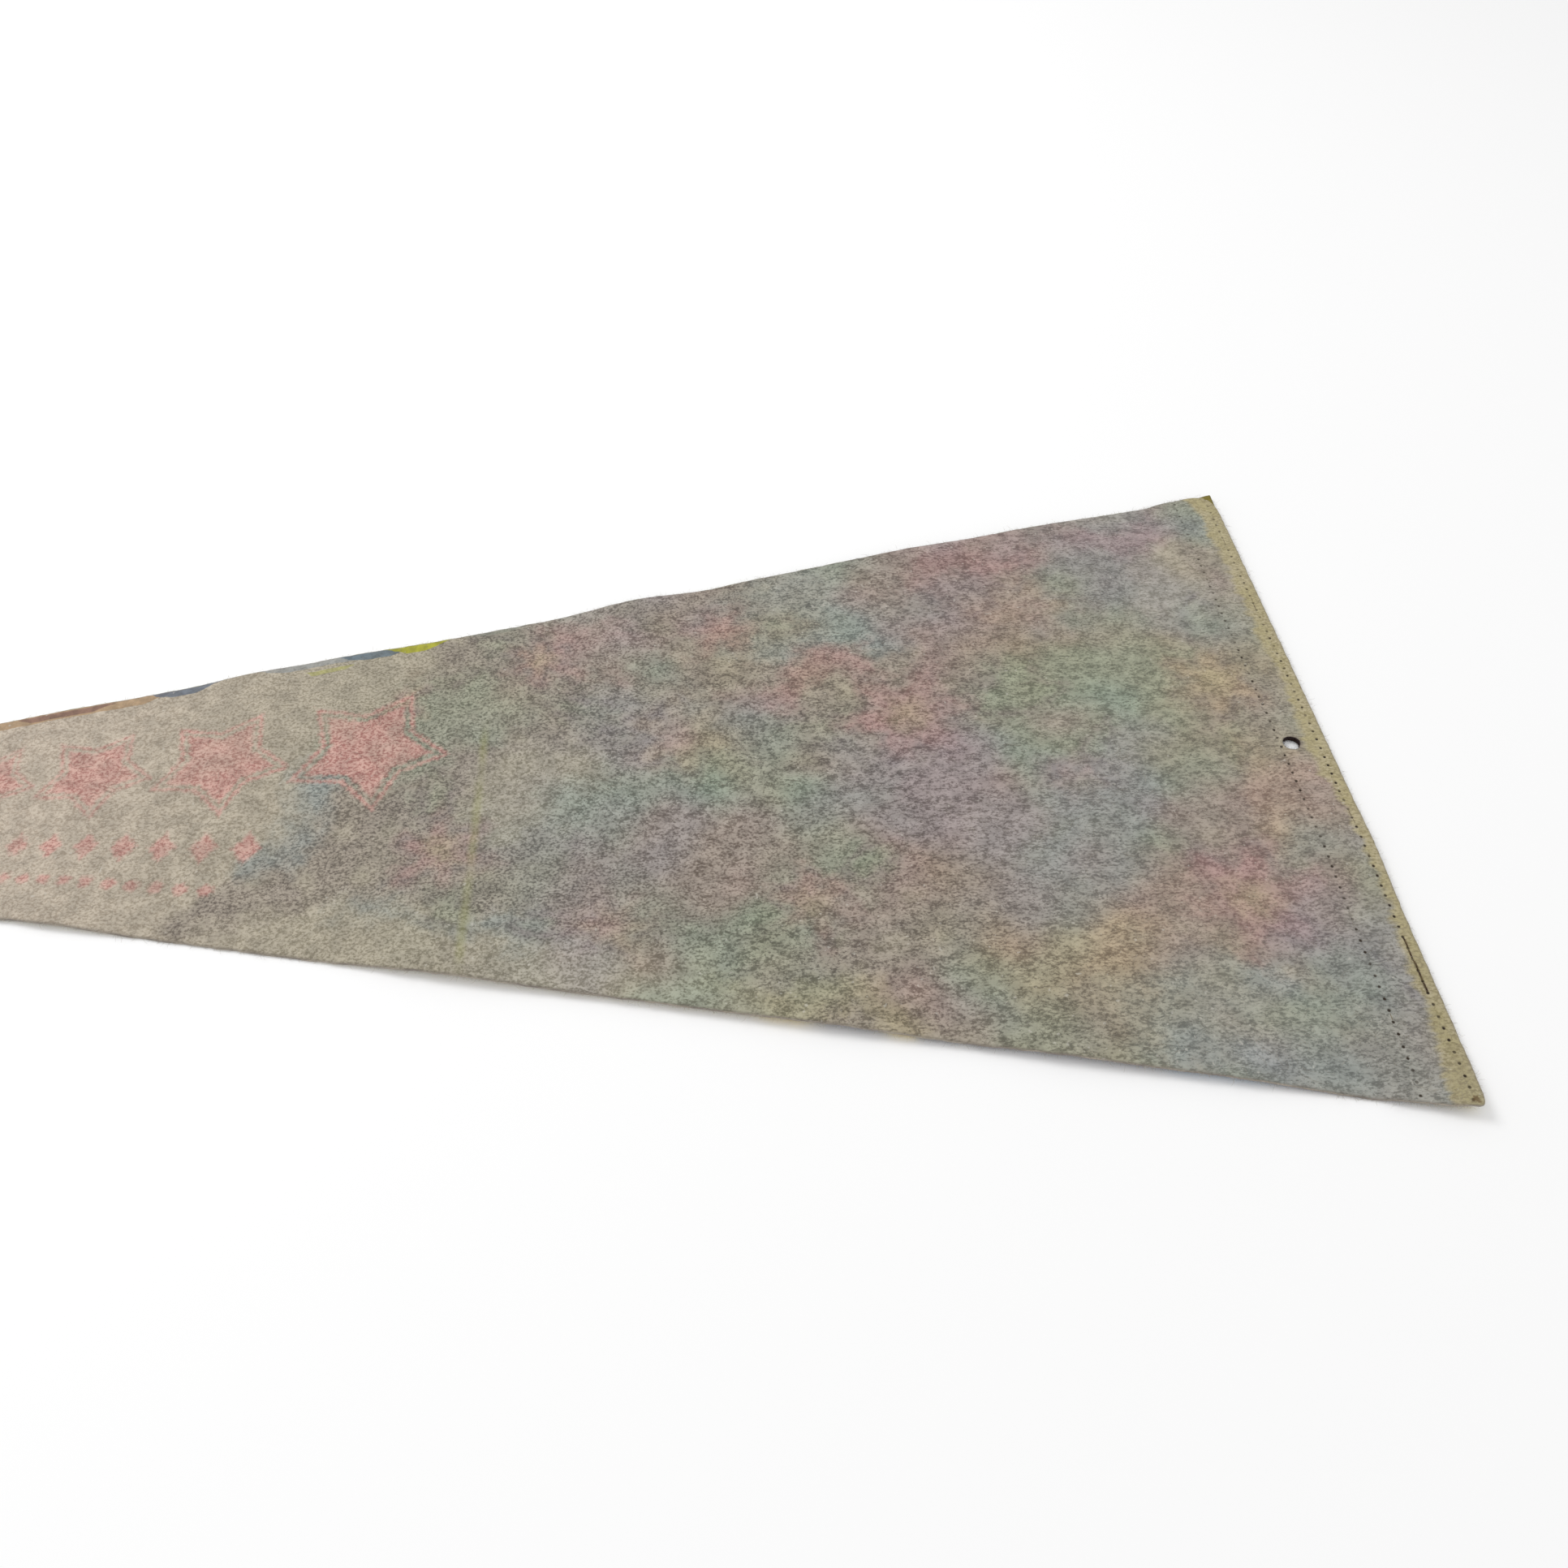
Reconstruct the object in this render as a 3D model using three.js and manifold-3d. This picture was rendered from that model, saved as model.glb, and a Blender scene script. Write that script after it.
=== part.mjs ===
// A felt pennant flag lying on its face: one long triangle of printed felt, with a narrow felt
// header strip sewn under its wide end, and one hanging hole punched through both layers.
// Millimetres. The tip points along -X and the wide end along +X, the far long edge is at +Y, and
// Z is up. The origin lies under the middle of the whole pennant, on the surface it rests on.

import * as THREE from "three";
import { mergeVertices } from "three/addons/utils/BufferGeometryUtils.js";
import Module from "manifold-3d";

const wasm = await Module();
wasm.setup();

// Driving dimensions
const WIDTH = 292; // across the wide end
const TAPER = 672; // from the wide end to the point where the two long edges would meet
const TIP_RADIUS = 3;
const FELT = 1.2; // thickness of the printed felt
const STRIP_WIDTH = 21;
const STRIP_FELT = 1.0; // thickness of the header strip
const LAYER_SPACE = 0.3; // between the strip and the felt above it
const HEADER_SLOPE = 9; // length over which the felt comes down from the strip to the surface
const HOLE_DIAMETER = 6.4;
const HOLE_INSET = 13; // from the wide edge to the middle of the hole

// How far each soft corner is worn back. The strip's squarer far corner shows past the felt's.
const FELT_CORNERS = { far: 6, near: 2.5 };
const STRIP_CORNERS = { far: 1.2, near: 3.5 };

// The wide edge is cut by hand and bows out: how far it lies back from its outermost point.
const WIDE_EDGE = [
  { across: -148, setBack: 4.4 },
  { across: -136, setBack: 2.1 },
  { across: -115, setBack: 1.2 },
  { across: -85, setBack: 0.9 },
  { across: -50, setBack: 0.1 },
  { across: 0, setBack: 0.15 },
  { across: 60, setBack: 0.6 },
  { across: 115, setBack: 1.0 },
  { across: 148, setBack: 1.6 },
];
const BULGE = 1.8; // from the straight line between the wide corners to that outermost point

// Gentle waves in the two long edges. "at" is the crest's place before the wide end, "reach" how far
// the wave runs to each side of it, "lift" its height at the edge, and "lean" how far the crest has
// moved along the pennant where it dies out near the middle.
const FAR_WAVES = [
  { at: -90, reach: 65, lift: 1.9, lean: 12 },
  { at: -147, reach: 50, lift: 2.6, lean: 16 },
  { at: -195, reach: 40, lift: 1.5, lean: 10 },
  { at: -249, reach: 35, lift: 2.5, lean: 14 },
  { at: -362, reach: 42, lift: 1.2, lean: 10 },
  { at: -394, reach: 24, lift: 1.5, lean: 6 },
  { at: -460, reach: 30, lift: 0.5, lean: 0 },
  { at: -562, reach: 46, lift: 1.4, lean: 8 },
];
const NEAR_WAVES = [
  { at: -66, reach: 36, lift: 1.6, lean: -6 },
  { at: -115, reach: 62, lift: 2.5, lean: -14 },
  { at: -187, reach: 50, lift: 2.7, lean: -12 },
  { at: -240, reach: 50, lift: 1.7, lean: -10 },
  { at: -302, reach: 55, lift: 2.5, lean: -16 },
  { at: -436, reach: 30, lift: 1.5, lean: -6 },
  { at: -524, reach: 44, lift: 1.7, lean: -8 },
];
const WAVE_START = 0.12; // share of the half width, from the middle, at which the waves begin
const HEADER_WAVE = { across: -46, reach: 28, depth: 55, lift: 0.6 };
const NEAR_CORNER_CURL = { reach: 30, lift: 3.2 };
const FAR_CORNER_CURL = { reach: 22, lift: 0.9 };
const TIP_CURL = { reach: 62, lift: 2.4 };

// Spacing of the mesh along the pennant, which is closer in the header, and across it
const COLUMN = 12;
const HEADER_COLUMN = 4;
const HEADER_COLUMNS = 10;
const ROW = 9.5;
const CURVE_STEPS = 4;
const HOLE_SIDES = 24;

// A slab reaches MARGIN past the outline that cuts it, and the cutters reach CUTTER / 2 up and down.
const MARGIN = 6;
const CUTTER = 60;
const MERGE_DISTANCE = 1e-4;

// Sizes that follow from the driving dimensions
const taperAngle = Math.atan(WIDTH / 2 / TAPER);
const tipCentre = TIP_RADIUS / Math.sin(taperAngle); // from the sharp point to the round tip's centre
const LENGTH = TAPER - (tipCentre - TIP_RADIUS) + BULGE;
const OUTER_X = LENGTH / 2;
const WIDE_X = OUTER_X - BULGE;
const POINT_X = WIDE_X - TAPER;
const HOLE_X = OUTER_X - HOLE_INSET;

const { clamp, mapLinear, smoothstep } = THREE.MathUtils;
const bump = (t) => (Math.abs(t) < 1 ? 0.5 + 0.5 * Math.cos(Math.PI * t) : 0);
const curl = (t) => (t < 1 ? (1 - t) ** 2 : 0);
const halfWidth = (x) => (WIDTH / 2) * ((x - POINT_X) / TAPER);

// x of the wide edge at one place across it
function wideEdgeX(y) {
  const above = WIDE_EDGE.findIndex((row) => row.across > y);
  const next = above < 0 ? WIDE_EDGE.length - 1 : Math.max(above, 1);
  const [a, b] = [WIDE_EDGE[next - 1], WIDE_EDGE[next]];
  return OUTER_X - mapLinear(y, a.across, b.across, a.setBack, b.setBack);
}

// Height of the lower layer's underside: the waves and curls that both layers share
function lift(x, y) {
  const along = x - WIDE_X;
  const side = clamp(y / Math.max(halfWidth(x), TIP_RADIUS), -1, 1);
  const out = Math.abs(side);
  let z = 0;
  for (const wave of side > 0 ? FAR_WAVES : NEAR_WAVES) {
    const crest = wave.at + wave.lean * (1 - out);
    z += wave.lift * bump((along - crest) / wave.reach) * smoothstep(out, WAVE_START, 1);
  }
  const inward = clamp((OUTER_X - x) / HEADER_WAVE.depth, 0, 1);
  z += HEADER_WAVE.lift * bump((y - HEADER_WAVE.across) / HEADER_WAVE.reach) * bump(inward);
  z += NEAR_CORNER_CURL.lift * curl(Math.hypot(along, y + WIDTH / 2) / NEAR_CORNER_CURL.reach);
  z += FAR_CORNER_CURL.lift * curl(Math.hypot(along, y - WIDTH / 2) / FAR_CORNER_CURL.reach);
  z += TIP_CURL.lift * curl((x + LENGTH / 2) / TIP_CURL.reach);
  return z;
}

// Height of the printed felt's underside, which climbs over the header strip at the wide end
function feltUnderside(x, y) {
  const inset = wideEdgeX(y) - x;
  const onStrip = 1 - smoothstep(inset, STRIP_WIDTH + 1, STRIP_WIDTH + 1 + HEADER_SLOPE);
  return lift(x, y) + (STRIP_FELT + LAYER_SPACE) * onStrip;
}

// Places of the mesh's columns from "low" to past the wide end, close together in the header
function columnPlaces(low) {
  const headerStart = OUTER_X + MARGIN - HEADER_COLUMN * HEADER_COLUMNS;
  const places = [OUTER_X + MARGIN];
  while (places.at(-1) > low) {
    const step = places.at(-1) > headerStart ? HEADER_COLUMN : COLUMN;
    places.push(places.at(-1) - step);
  }
  return places.reverse();
}

// Places of the mesh's rows across the whole width
function rowPlaces() {
  const count = Math.ceil((WIDTH / 2 + MARGIN) / ROW);
  return Array.from({ length: 2 * count + 1 }, (_, j) => (j - count) * ROW);
}

function toSolid(geometry) {
  geometry.deleteAttribute("normal");
  geometry.deleteAttribute("uv");
  const merged = mergeVertices(geometry, MERGE_DISTANCE);
  return new wasm.Manifold(
    new wasm.Mesh({
      numProp: 3,
      vertProperties: merged.attributes.position.array,
      triVerts: new Uint32Array(merged.index.array),
    }),
  );
}

// A rectangular slab of even thickness on an uneven underside
function slab(xs, ys, underside, thickness) {
  const position = [];
  const index = [];
  for (const up of [0, thickness]) {
    for (const x of xs) {
      for (const y of ys) position.push(x, y, underside(x, y) + up);
    }
  }
  const quad = (a, b, c, d) => index.push(a, b, c, a, c, d);
  const at = (i, j, up) => (up * xs.length + i) * ys.length + j;
  const [lastX, lastY] = [xs.length - 1, ys.length - 1];
  for (let i = 0; i < lastX; i++) {
    for (let j = 0; j < lastY; j++) {
      quad(at(i, j, 1), at(i + 1, j, 1), at(i + 1, j + 1, 1), at(i, j + 1, 1));
      quad(at(i, j, 0), at(i, j + 1, 0), at(i + 1, j + 1, 0), at(i + 1, j, 0));
    }
    quad(at(i, 0, 0), at(i + 1, 0, 0), at(i + 1, 0, 1), at(i, 0, 1));
    quad(at(i + 1, lastY, 0), at(i, lastY, 0), at(i, lastY, 1), at(i + 1, lastY, 1));
  }
  for (let j = 0; j < lastY; j++) {
    quad(at(0, j + 1, 0), at(0, j, 0), at(0, j, 1), at(0, j + 1, 1));
    quad(at(lastX, j, 0), at(lastX, j + 1, 0), at(lastX, j + 1, 1), at(lastX, j, 1));
  }
  const geometry = new THREE.BufferGeometry();
  geometry.setAttribute("position", new THREE.Float32BufferAttribute(position, 3));
  geometry.setIndex(index);
  return toSolid(geometry);
}

// A tall prism over a flat outline, to cut a slab with
function cutter(shape) {
  const options = { depth: CUTTER, bevelEnabled: false, curveSegments: CURVE_STEPS };
  const geometry = new THREE.ExtrudeGeometry(shape, options);
  geometry.translate(0, 0, -CUTTER / 2);
  return toSolid(geometry);
}

// The points of the wide edge, or of a line behind it, between two places across it
function wideEdgePoints(from, to, back = 0) {
  const inside = WIDE_EDGE.map((row) => row.across).filter((y) => y > from && y < to);
  return [from, ...inside, to].map((y) => new THREE.Vector2(wideEdgeX(y) - back, y));
}

// The whole pennant: soft corners, the bowed wide edge, two straight long edges and a round tip
function pennantOutline(corners) {
  const cornerAt = (sign) => {
    const x = wideEdgeX((sign * WIDTH) / 2);
    return new THREE.Vector2(x, sign * halfWidth(x));
  };
  const [near, far] = [cornerAt(-1), cornerAt(1)];
  const nearStart = near.x - corners.near * Math.cos(taperAngle);
  const farEnd = far.x - corners.far * Math.cos(taperAngle);
  const edge = wideEdgePoints(near.y + corners.near, far.y - corners.far);
  const quarter = Math.PI / 2;
  const centreX = POINT_X + tipCentre;

  const shape = new THREE.Shape();
  shape.moveTo(nearStart, -halfWidth(nearStart));
  shape.quadraticCurveTo(near.x, near.y, edge[0].x, edge[0].y);
  shape.splineThru(edge.slice(1));
  shape.quadraticCurveTo(far.x, far.y, farEnd, halfWidth(farEnd));
  shape.absarc(centreX, 0, TIP_RADIUS, quarter + taperAngle, 3 * quarter - taperAngle, false);
  shape.closePath();
  return shape;
}

// The band that holds the header strip: its inner edge follows the wide edge
function stripOutline() {
  const reach = WIDTH / 2 + MARGIN;
  const inner = wideEdgePoints(-reach, reach, STRIP_WIDTH).reverse();
  const shape = new THREE.Shape();
  shape.moveTo(OUTER_X + MARGIN, -reach);
  shape.lineTo(OUTER_X + MARGIN, reach);
  shape.lineTo(inner[0].x, reach);
  shape.splineThru(inner.slice(1));
  shape.closePath();
  return shape;
}

function holeOutline() {
  const corner = (_, i) => {
    const angle = (2 * Math.PI * i) / HOLE_SIDES;
    const radius = HOLE_DIAMETER / 2;
    return new THREE.Vector2(HOLE_X + radius * Math.cos(angle), radius * Math.sin(angle));
  };
  return new THREE.Shape(Array.from({ length: HOLE_SIDES }, corner));
}

function printedFelt() {
  return slab(columnPlaces(-LENGTH / 2), rowPlaces(), feltUnderside, FELT)
    .intersect(cutter(pennantOutline(FELT_CORNERS)))
    .subtract(cutter(holeOutline()));
}

function headerStrip() {
  const low = OUTER_X - STRIP_WIDTH - MARGIN;
  return slab(columnPlaces(low), rowPlaces(), lift, STRIP_FELT)
    .intersect(cutter(pennantOutline(STRIP_CORNERS)))
    .intersect(cutter(stripOutline()))
    .subtract(cutter(holeOutline()));
}

function toMesh(name, solid, look) {
  const { numProp, vertProperties, triVerts } = solid.getMesh();
  const position = [];
  for (let i = 0; i < vertProperties.length; i += numProp) {
    position.push(...vertProperties.subarray(i, i + 3));
  }
  const geometry = new THREE.BufferGeometry();
  geometry.setAttribute("position", new THREE.Float32BufferAttribute(position, 3));
  geometry.setIndex([...triVerts]);
  geometry.computeVertexNormals();
  const mesh = new THREE.Mesh(geometry, new THREE.MeshStandardMaterial(look));
  mesh.name = name;
  return mesh;
}

const pennant = new THREE.Group();
pennant.add(
  toMesh("felt_pennant", printedFelt(), { color: 0x9c9484, roughness: 0.95, metalness: 0 }),
  toMesh("header_strip", headerStrip(), { color: 0xb8a53c, roughness: 0.95, metalness: 0 }),
);

export default pennant;
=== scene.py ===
"""A felt pennant flag lying on its printed face, seen from its back.

Lengths are millimetres until a mesh is made. The tip points along -X and the wide end along +X,
the far long edge is at +Y, and Z is up from the surface. "Along" is measured from the wide end
towards the tip, and "inset" from the bowed wide edge.
"""

import math
from typing import NamedTuple

import bpy
import numpy as np
from mathutils import Matrix


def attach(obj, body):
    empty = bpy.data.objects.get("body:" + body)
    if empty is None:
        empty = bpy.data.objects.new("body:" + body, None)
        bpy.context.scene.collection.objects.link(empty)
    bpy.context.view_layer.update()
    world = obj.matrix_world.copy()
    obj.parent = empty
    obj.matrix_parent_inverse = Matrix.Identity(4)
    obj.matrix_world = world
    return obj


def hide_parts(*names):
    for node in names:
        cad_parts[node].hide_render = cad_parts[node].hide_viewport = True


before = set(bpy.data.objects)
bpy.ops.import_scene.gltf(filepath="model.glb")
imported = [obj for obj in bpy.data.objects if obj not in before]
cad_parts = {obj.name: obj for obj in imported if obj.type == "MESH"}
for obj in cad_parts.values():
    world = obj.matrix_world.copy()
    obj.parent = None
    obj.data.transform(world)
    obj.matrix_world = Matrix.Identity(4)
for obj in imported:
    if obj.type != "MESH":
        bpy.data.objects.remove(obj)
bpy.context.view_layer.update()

MM = 0.001

# The pennant's driving dimensions
WIDTH = 292.0
TAPER = 672.0
TIP_RADIUS = 3.0
BULGE = 1.8
FELT = 1.2
FELT_RISE = 1.22  # from the strip's underside to the felt's, over the strip
STRIP_WIDTH = 21.0
STRIP_FELT = 1.15
HEADER_SLOPE = 9.0
HOLE_DIAMETER = 6.4
HOLE_INSET = 13.0
CORNERS = {
    "felt": {"far": 15.0, "near": 2.5},
    "strip": {"far": 0.6, "near": 3.5},
}
STRIP_SET_BACK = 1.0  # of the strip's near end from the felt's near edge

# How far the wide edge lies back from its outermost point
WIDE_EDGE = (
    # across, set back
    (-148, 4.4),
    (-136, 2.1),
    (-115, 1.2),
    (-85, 0.9),
    (-50, 0.1),
    (0, 0.15),
    (60, 0.6),
    (115, 1.0),
    (148, 1.6),
)

# Gentle waves in the two long edges
FAR_WAVES = (
    # at, reach, lift, lean
    (-90, 65, 1.9, 12),
    (-147, 50, 2.6, 16),
    (-195, 40, 1.5, 10),
    (-249, 35, 2.5, 14),
    (-362, 42, 1.2, 10),
    (-394, 24, 1.5, 6),
    (-460, 30, 0.5, 0),
    (-562, 46, 1.4, 8),
)
NEAR_WAVES = (
    # at, reach, lift, lean
    (-66, 36, 1.6, -6),
    (-115, 62, 2.5, -14),
    (-187, 50, 2.7, -12),
    (-240, 50, 1.7, -10),
    (-302, 55, 2.5, -16),
    (-436, 30, 1.5, -6),
    (-524, 44, 1.7, -8),
)
WAVE_START = 0.12
HEADER_WAVE_ACROSS, HEADER_WAVE_REACH, HEADER_WAVE_DEPTH, HEADER_WAVE_LIFT = -46, 28, 55, 0.6
NEAR_CURL_REACH, NEAR_CURL_LIFT = 30, 3.2
FAR_CURL_REACH, FAR_CURL_LIFT = 22, 0.9
TIP_CURL_REACH, TIP_CURL_LIFT = 62, 2.4

# The sewing: two rows at fixed insets from the wide edge
OUTER_ROW = 3.5
INNER_ROW = 17.6
ROWS = (OUTER_ROW, INNER_ROW)
ROW_START, ROW_END = 2.2, 2.0  # how far a row stays from the near edge and from the far one
ROW_SWAY, ROW_SWAY_LENGTH = 0.25, 31.0
STITCH = 4.15
STITCH_SHARES = (0.93, 1.07)  # the shortest and the longest stitch
NEEDLE_SCATTER = 0.05
NEEDLE_REACH, NEEDLE_FAR = 3.0, 9.0  # where a hole counts as near, and the distance given past that
PIT_SPREAD, PIT_DEPTH = 0.42, 0.42
GROOVE_SPREAD, GROOVE_DEPTH = 0.7, 0.10
STRIP_GROOVE_SPREAD, STRIP_GROOVE_DEPTH = 0.45, 0.22
LOOSE_STITCHES = (-107, -87)  # across: where the dark thread lies on the felt and not in it

# Surfaces and cut edges
UNEVENNESS = 0.03  # of the felt's back, for its lumps and for its dents
ROUNDING = 0.9  # how far in a cut edge is rounded
UNDER_ROUNDING, BACK_ROUNDING = 0.12, 0.22
FELT_WOBBLE, STRIP_WOBBLE = 0.10, 0.08
WOBBLE_FADE, WOBBLE_END, WOBBLE_ALONG = 1.5, 6.0, 0.6
RIM_FULLNESS, RIM_UNEVENNESS, RIM_FINENESS = 0.10, 0.06, 2.1

# Mesh spacing
FELT_ROWS = 144
FELT_STEP = 2.15
HEADER_END = 19.4
HEADER_STEP = 1.25
SEWING_STEP = 0.3
SEWING_BAND = 0.85  # each side of a row
SHORTEST_STEP = 1.0  # beside the tip
FEWEST_ROWS = 9
BOW_REACH = 60.0  # how far in the columns follow the wide edge's bow
TIP_BULGE_REACH = 9.0
STRIP_ROWS = 292
RIM = 0.7
ON_RING = 0.06  # how far off the hole's edge, as a share of its radius, still counts as on it
TOP, UNDERSIDE, CUT = 0, 1, 2  # the parts of a sheet's surface, and the felt's materials
TINY = 1e-9

# Sizes that follow from the driving dimensions
TAPER_ANGLE = math.atan(WIDTH / 2 / TAPER)
TIP_CENTRE = TIP_RADIUS / math.sin(TAPER_ANGLE)
LENGTH = TAPER - (TIP_CENTRE - TIP_RADIUS) + BULGE
OUTER_X = LENGTH / 2
WIDE_X = OUTER_X - BULGE
POINT_X = WIDE_X - TAPER
HOLE_X = OUTER_X - HOLE_INSET
HOLE_RADIUS = HOLE_DIAMETER / 2
TIP_TANGENT_X = POINT_X + TIP_CENTRE - TIP_RADIUS * math.sin(TAPER_ANGLE)


# Shape of the cloth

def clamp(value, low, high):
    return np.minimum(np.maximum(value, low), high)


def smooth(value, low, high):
    t = clamp((value - low) / (high - low), 0, 1)
    return t * t * (3 - 2 * t)


def bump(t):
    return 0.5 + 0.5 * np.cos(np.pi * clamp(t, -1, 1))


def curl(t):
    return clamp(1 - t, 0, 1) ** 2


def half_width(x):
    return WIDTH / 2 * (x - POINT_X) / TAPER


def table_value(y, table, softness=6.0):
    """A value from a table of (place, value), its corners rounded over a length of softness."""
    places, values = np.array(table, float).T
    shifts = np.linspace(-softness, softness, 7)
    return np.mean([np.interp(y + shift, places, values) for shift in shifts], axis=0)


def wide_edge_x(y):
    return OUTER_X - table_value(y, WIDE_EDGE)


def inset_of(x, y):
    return wide_edge_x(y) - x


def hole_distance(x, y):
    return np.hypot(x - HOLE_X, y) - HOLE_RADIUS


def lift(x, y):
    """Height of the lower layer's underside: the waves and curls that both layers share."""
    along = x - WIDE_X
    side = clamp(y / np.maximum(half_width(x), TIP_RADIUS), -1, 1)
    out = np.abs(side)
    z = np.zeros_like(along)
    for sign, waves in ((1, FAR_WAVES), (-1, NEAR_WAVES)):
        for at, reach, height, lean in waves:
            crest = at + lean * (1 - out)
            wave = height * bump((along - crest) / reach) * smooth(out, WAVE_START, 1)
            z += np.where(side * sign > 0, wave, 0)
    inward = clamp((OUTER_X - x) / HEADER_WAVE_DEPTH, 0, 1)
    z += HEADER_WAVE_LIFT * bump((y - HEADER_WAVE_ACROSS) / HEADER_WAVE_REACH) * bump(inward)
    z += NEAR_CURL_LIFT * curl(np.hypot(along, y + WIDTH / 2) / NEAR_CURL_REACH)
    z += FAR_CURL_LIFT * curl(np.hypot(along, y - WIDTH / 2) / FAR_CURL_REACH)
    z += TIP_CURL_LIFT * curl((x + LENGTH / 2) / TIP_CURL_REACH)
    return z


def felt_underside(x, y):
    on_strip = 1 - smooth(inset_of(x, y), STRIP_WIDTH + 1, STRIP_WIDTH + 1 + HEADER_SLOPE)
    return lift(x, y) + FELT_RISE * on_strip


def felt_back(x, y):
    return felt_underside(x, y) + FELT


def wave_field(count, shortest, longest, seed):
    """An even, endless unevenness of height about 1, as a function of place."""
    rng = np.random.default_rng(seed)
    length = rng.uniform(shortest, longest, count)
    turn, phase = rng.uniform(0, 2 * np.pi, (2, count))
    fx, fy = 2 * np.pi / length * np.cos(turn), 2 * np.pi / length * np.sin(turn)

    def at(x, y):
        total = np.zeros(np.shape(x))
        for a, b, p in zip(fx, fy, phase):
            total = total + np.sin(a * x + b * y + p)
        return total * math.sqrt(2 / count)

    return at


lumps = wave_field(count=24, shortest=4.0, longest=9.0, seed=1)
dents = wave_field(count=16, shortest=18.0, longest=45.0, seed=2)
cut_wobble = wave_field(count=12, shortest=3.0, longest=14.0, seed=3)


# Sewing places

def needle_places(row_inset, seed):
    """Where the needle went through, from the near end of a row to its far end."""
    rng = np.random.default_rng(seed)
    end = half_width(WIDE_X - row_inset)
    y = -end + ROW_START
    places = []
    while y < end - ROW_END:
        sway = ROW_SWAY * math.sin(y / ROW_SWAY_LENGTH + row_inset)
        x = wide_edge_x(y) - row_inset - sway
        places.append((float(x + rng.normal(0, NEEDLE_SCATTER)), y))
        y += STITCH * rng.uniform(*STITCH_SHARES)
    return np.array(places)


needles = {"outer": needle_places(OUTER_ROW, seed=11), "inner": needle_places(INNER_ROW, seed=12)}
all_needles = np.concatenate(list(needles.values()))


def needle_distance(x, y):
    """Distance from the nearest needle hole, or a fixed one where none is near."""
    near = np.full(np.shape(x), NEEDLE_FAR)
    for nx, ny in all_needles:
        close = np.abs(y - ny) < NEEDLE_REACH
        near[close] = np.minimum(near[close], np.hypot(x[close] - nx, y[close] - ny))
    return near


def row_groove(x, y, spread):
    """From 1 on a row of sewing to 0 away from it."""
    return sum(np.exp(-(((inset_of(x, y) - row) / spread) ** 2)) for row in ROWS)


def sewing_depth(x, y):
    """How deep the thread draws the felt in: a pit at each needle hole, a faint groove between."""
    pit = np.exp(-((needle_distance(x, y) / PIT_SPREAD) ** 2))
    return PIT_DEPTH * pit + GROOVE_DEPTH * row_groove(x, y, GROOVE_SPREAD)


# A sheet mesh in columns that run across the pennant, with fewer rows towards the tip

class Sheet:
    """Columns of points from near to far, the tip's first, and the faces between them."""

    def __init__(self):
        self.points = []
        self.columns = []
        self.faces = []

    def add_column(self, xy):
        start = sum(len(c) for c in self.points)
        self.points.append(xy)
        self.columns.append(np.arange(start, start + len(xy)))

    def join_columns(self):
        for a, b in zip(self.columns, self.columns[1:]):
            if len(a) == len(b):
                self.faces += zip(a, b, b[1:], a[1:])
            else:
                self.join_to_finer(a, b)

    def join_to_finer(self, coarse, fine):
        """The first and last cells are the rim's, and each cell between them meets two."""
        self.faces.append((coarse[0], fine[0], fine[1], coarse[1]))
        for j in range(1, len(coarse) - 2):
            c, d = coarse[j], coarse[j + 1]
            f, g, h = fine[2 * j - 1], fine[2 * j], fine[2 * j + 1]
            self.faces += [(c, f, g), (c, g, d), (d, g, h)]
        self.faces.append((coarse[-2], fine[-2], fine[-1], coarse[-1]))


def across_places(width, rows):
    """Places across a column: the cut edges, a rim point beside each, and even rows between."""
    inner = np.linspace(-(width - RIM), width - RIM, rows + 1)
    return np.concatenate([[-width], inner, [width]])


def column_insets(last, end=None):
    """Insets of a sheet's columns: close at the sewing, medium in the header, wide on the body."""
    insets = [0.0, RIM / 2]
    while insets[-1] < last:
        at = insets[-1]
        sewing = min(abs(at + SEWING_STEP - row) for row in ROWS)
        if sewing < SEWING_BAND:
            step = SEWING_STEP
        elif at < HEADER_END:
            step = HEADER_STEP if sewing > HEADER_STEP else HEADER_STEP / 2
        else:
            step = FELT_STEP
        insets.append(at + step)
    if end is not None:
        insets = [i for i in insets if i < end - RIM] + [end - RIM / 2, end]
    return insets


def rows_at(inset, x):
    """Rows of one column: more in the header, and half as many each time the pennant halves."""
    if inset < HEADER_END:
        return FELT_ROWS * 4
    if inset < HEADER_END + FELT_STEP:
        return FELT_ROWS * 2
    rows = FELT_ROWS
    share = half_width(x) / half_width(WIDE_X)
    while share < 0.5 and rows > FEWEST_ROWS:
        rows //= 2
        share *= 2
    return rows


def corner_warp(x, y, corners):
    """Draws a square wide corner back onto its soft round one."""
    for sign, name in ((1, "far"), (-1, "near")):
        radius = corners[name]
        a = np.maximum(wide_edge_x(y) - x, 0)
        b = np.maximum(half_width(x) - sign * y, 0)
        back = np.maximum(radius - (a + b), 0) ** 2 / (4 * radius)
        x = x - back
        y = y - sign * back
    return x, y


def hole_warp(x, y):
    """Turns the square rings of grid points around the hole into circles.

    Returns x, y and each point's ring, which is 1 on the hole's edge.
    """
    dx, dy = x - HOLE_X, y
    ring = np.maximum(np.abs(dx), np.abs(dy)) / HOLE_RADIUS
    distance = np.hypot(dx, dy) / HOLE_RADIUS
    blend = 1 - smooth(ring, 1.0, 2.0)
    factor = 1 + (ring / np.maximum(distance, TINY) - 1) * blend
    return HOLE_X + dx * factor, dy * factor, ring


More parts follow.
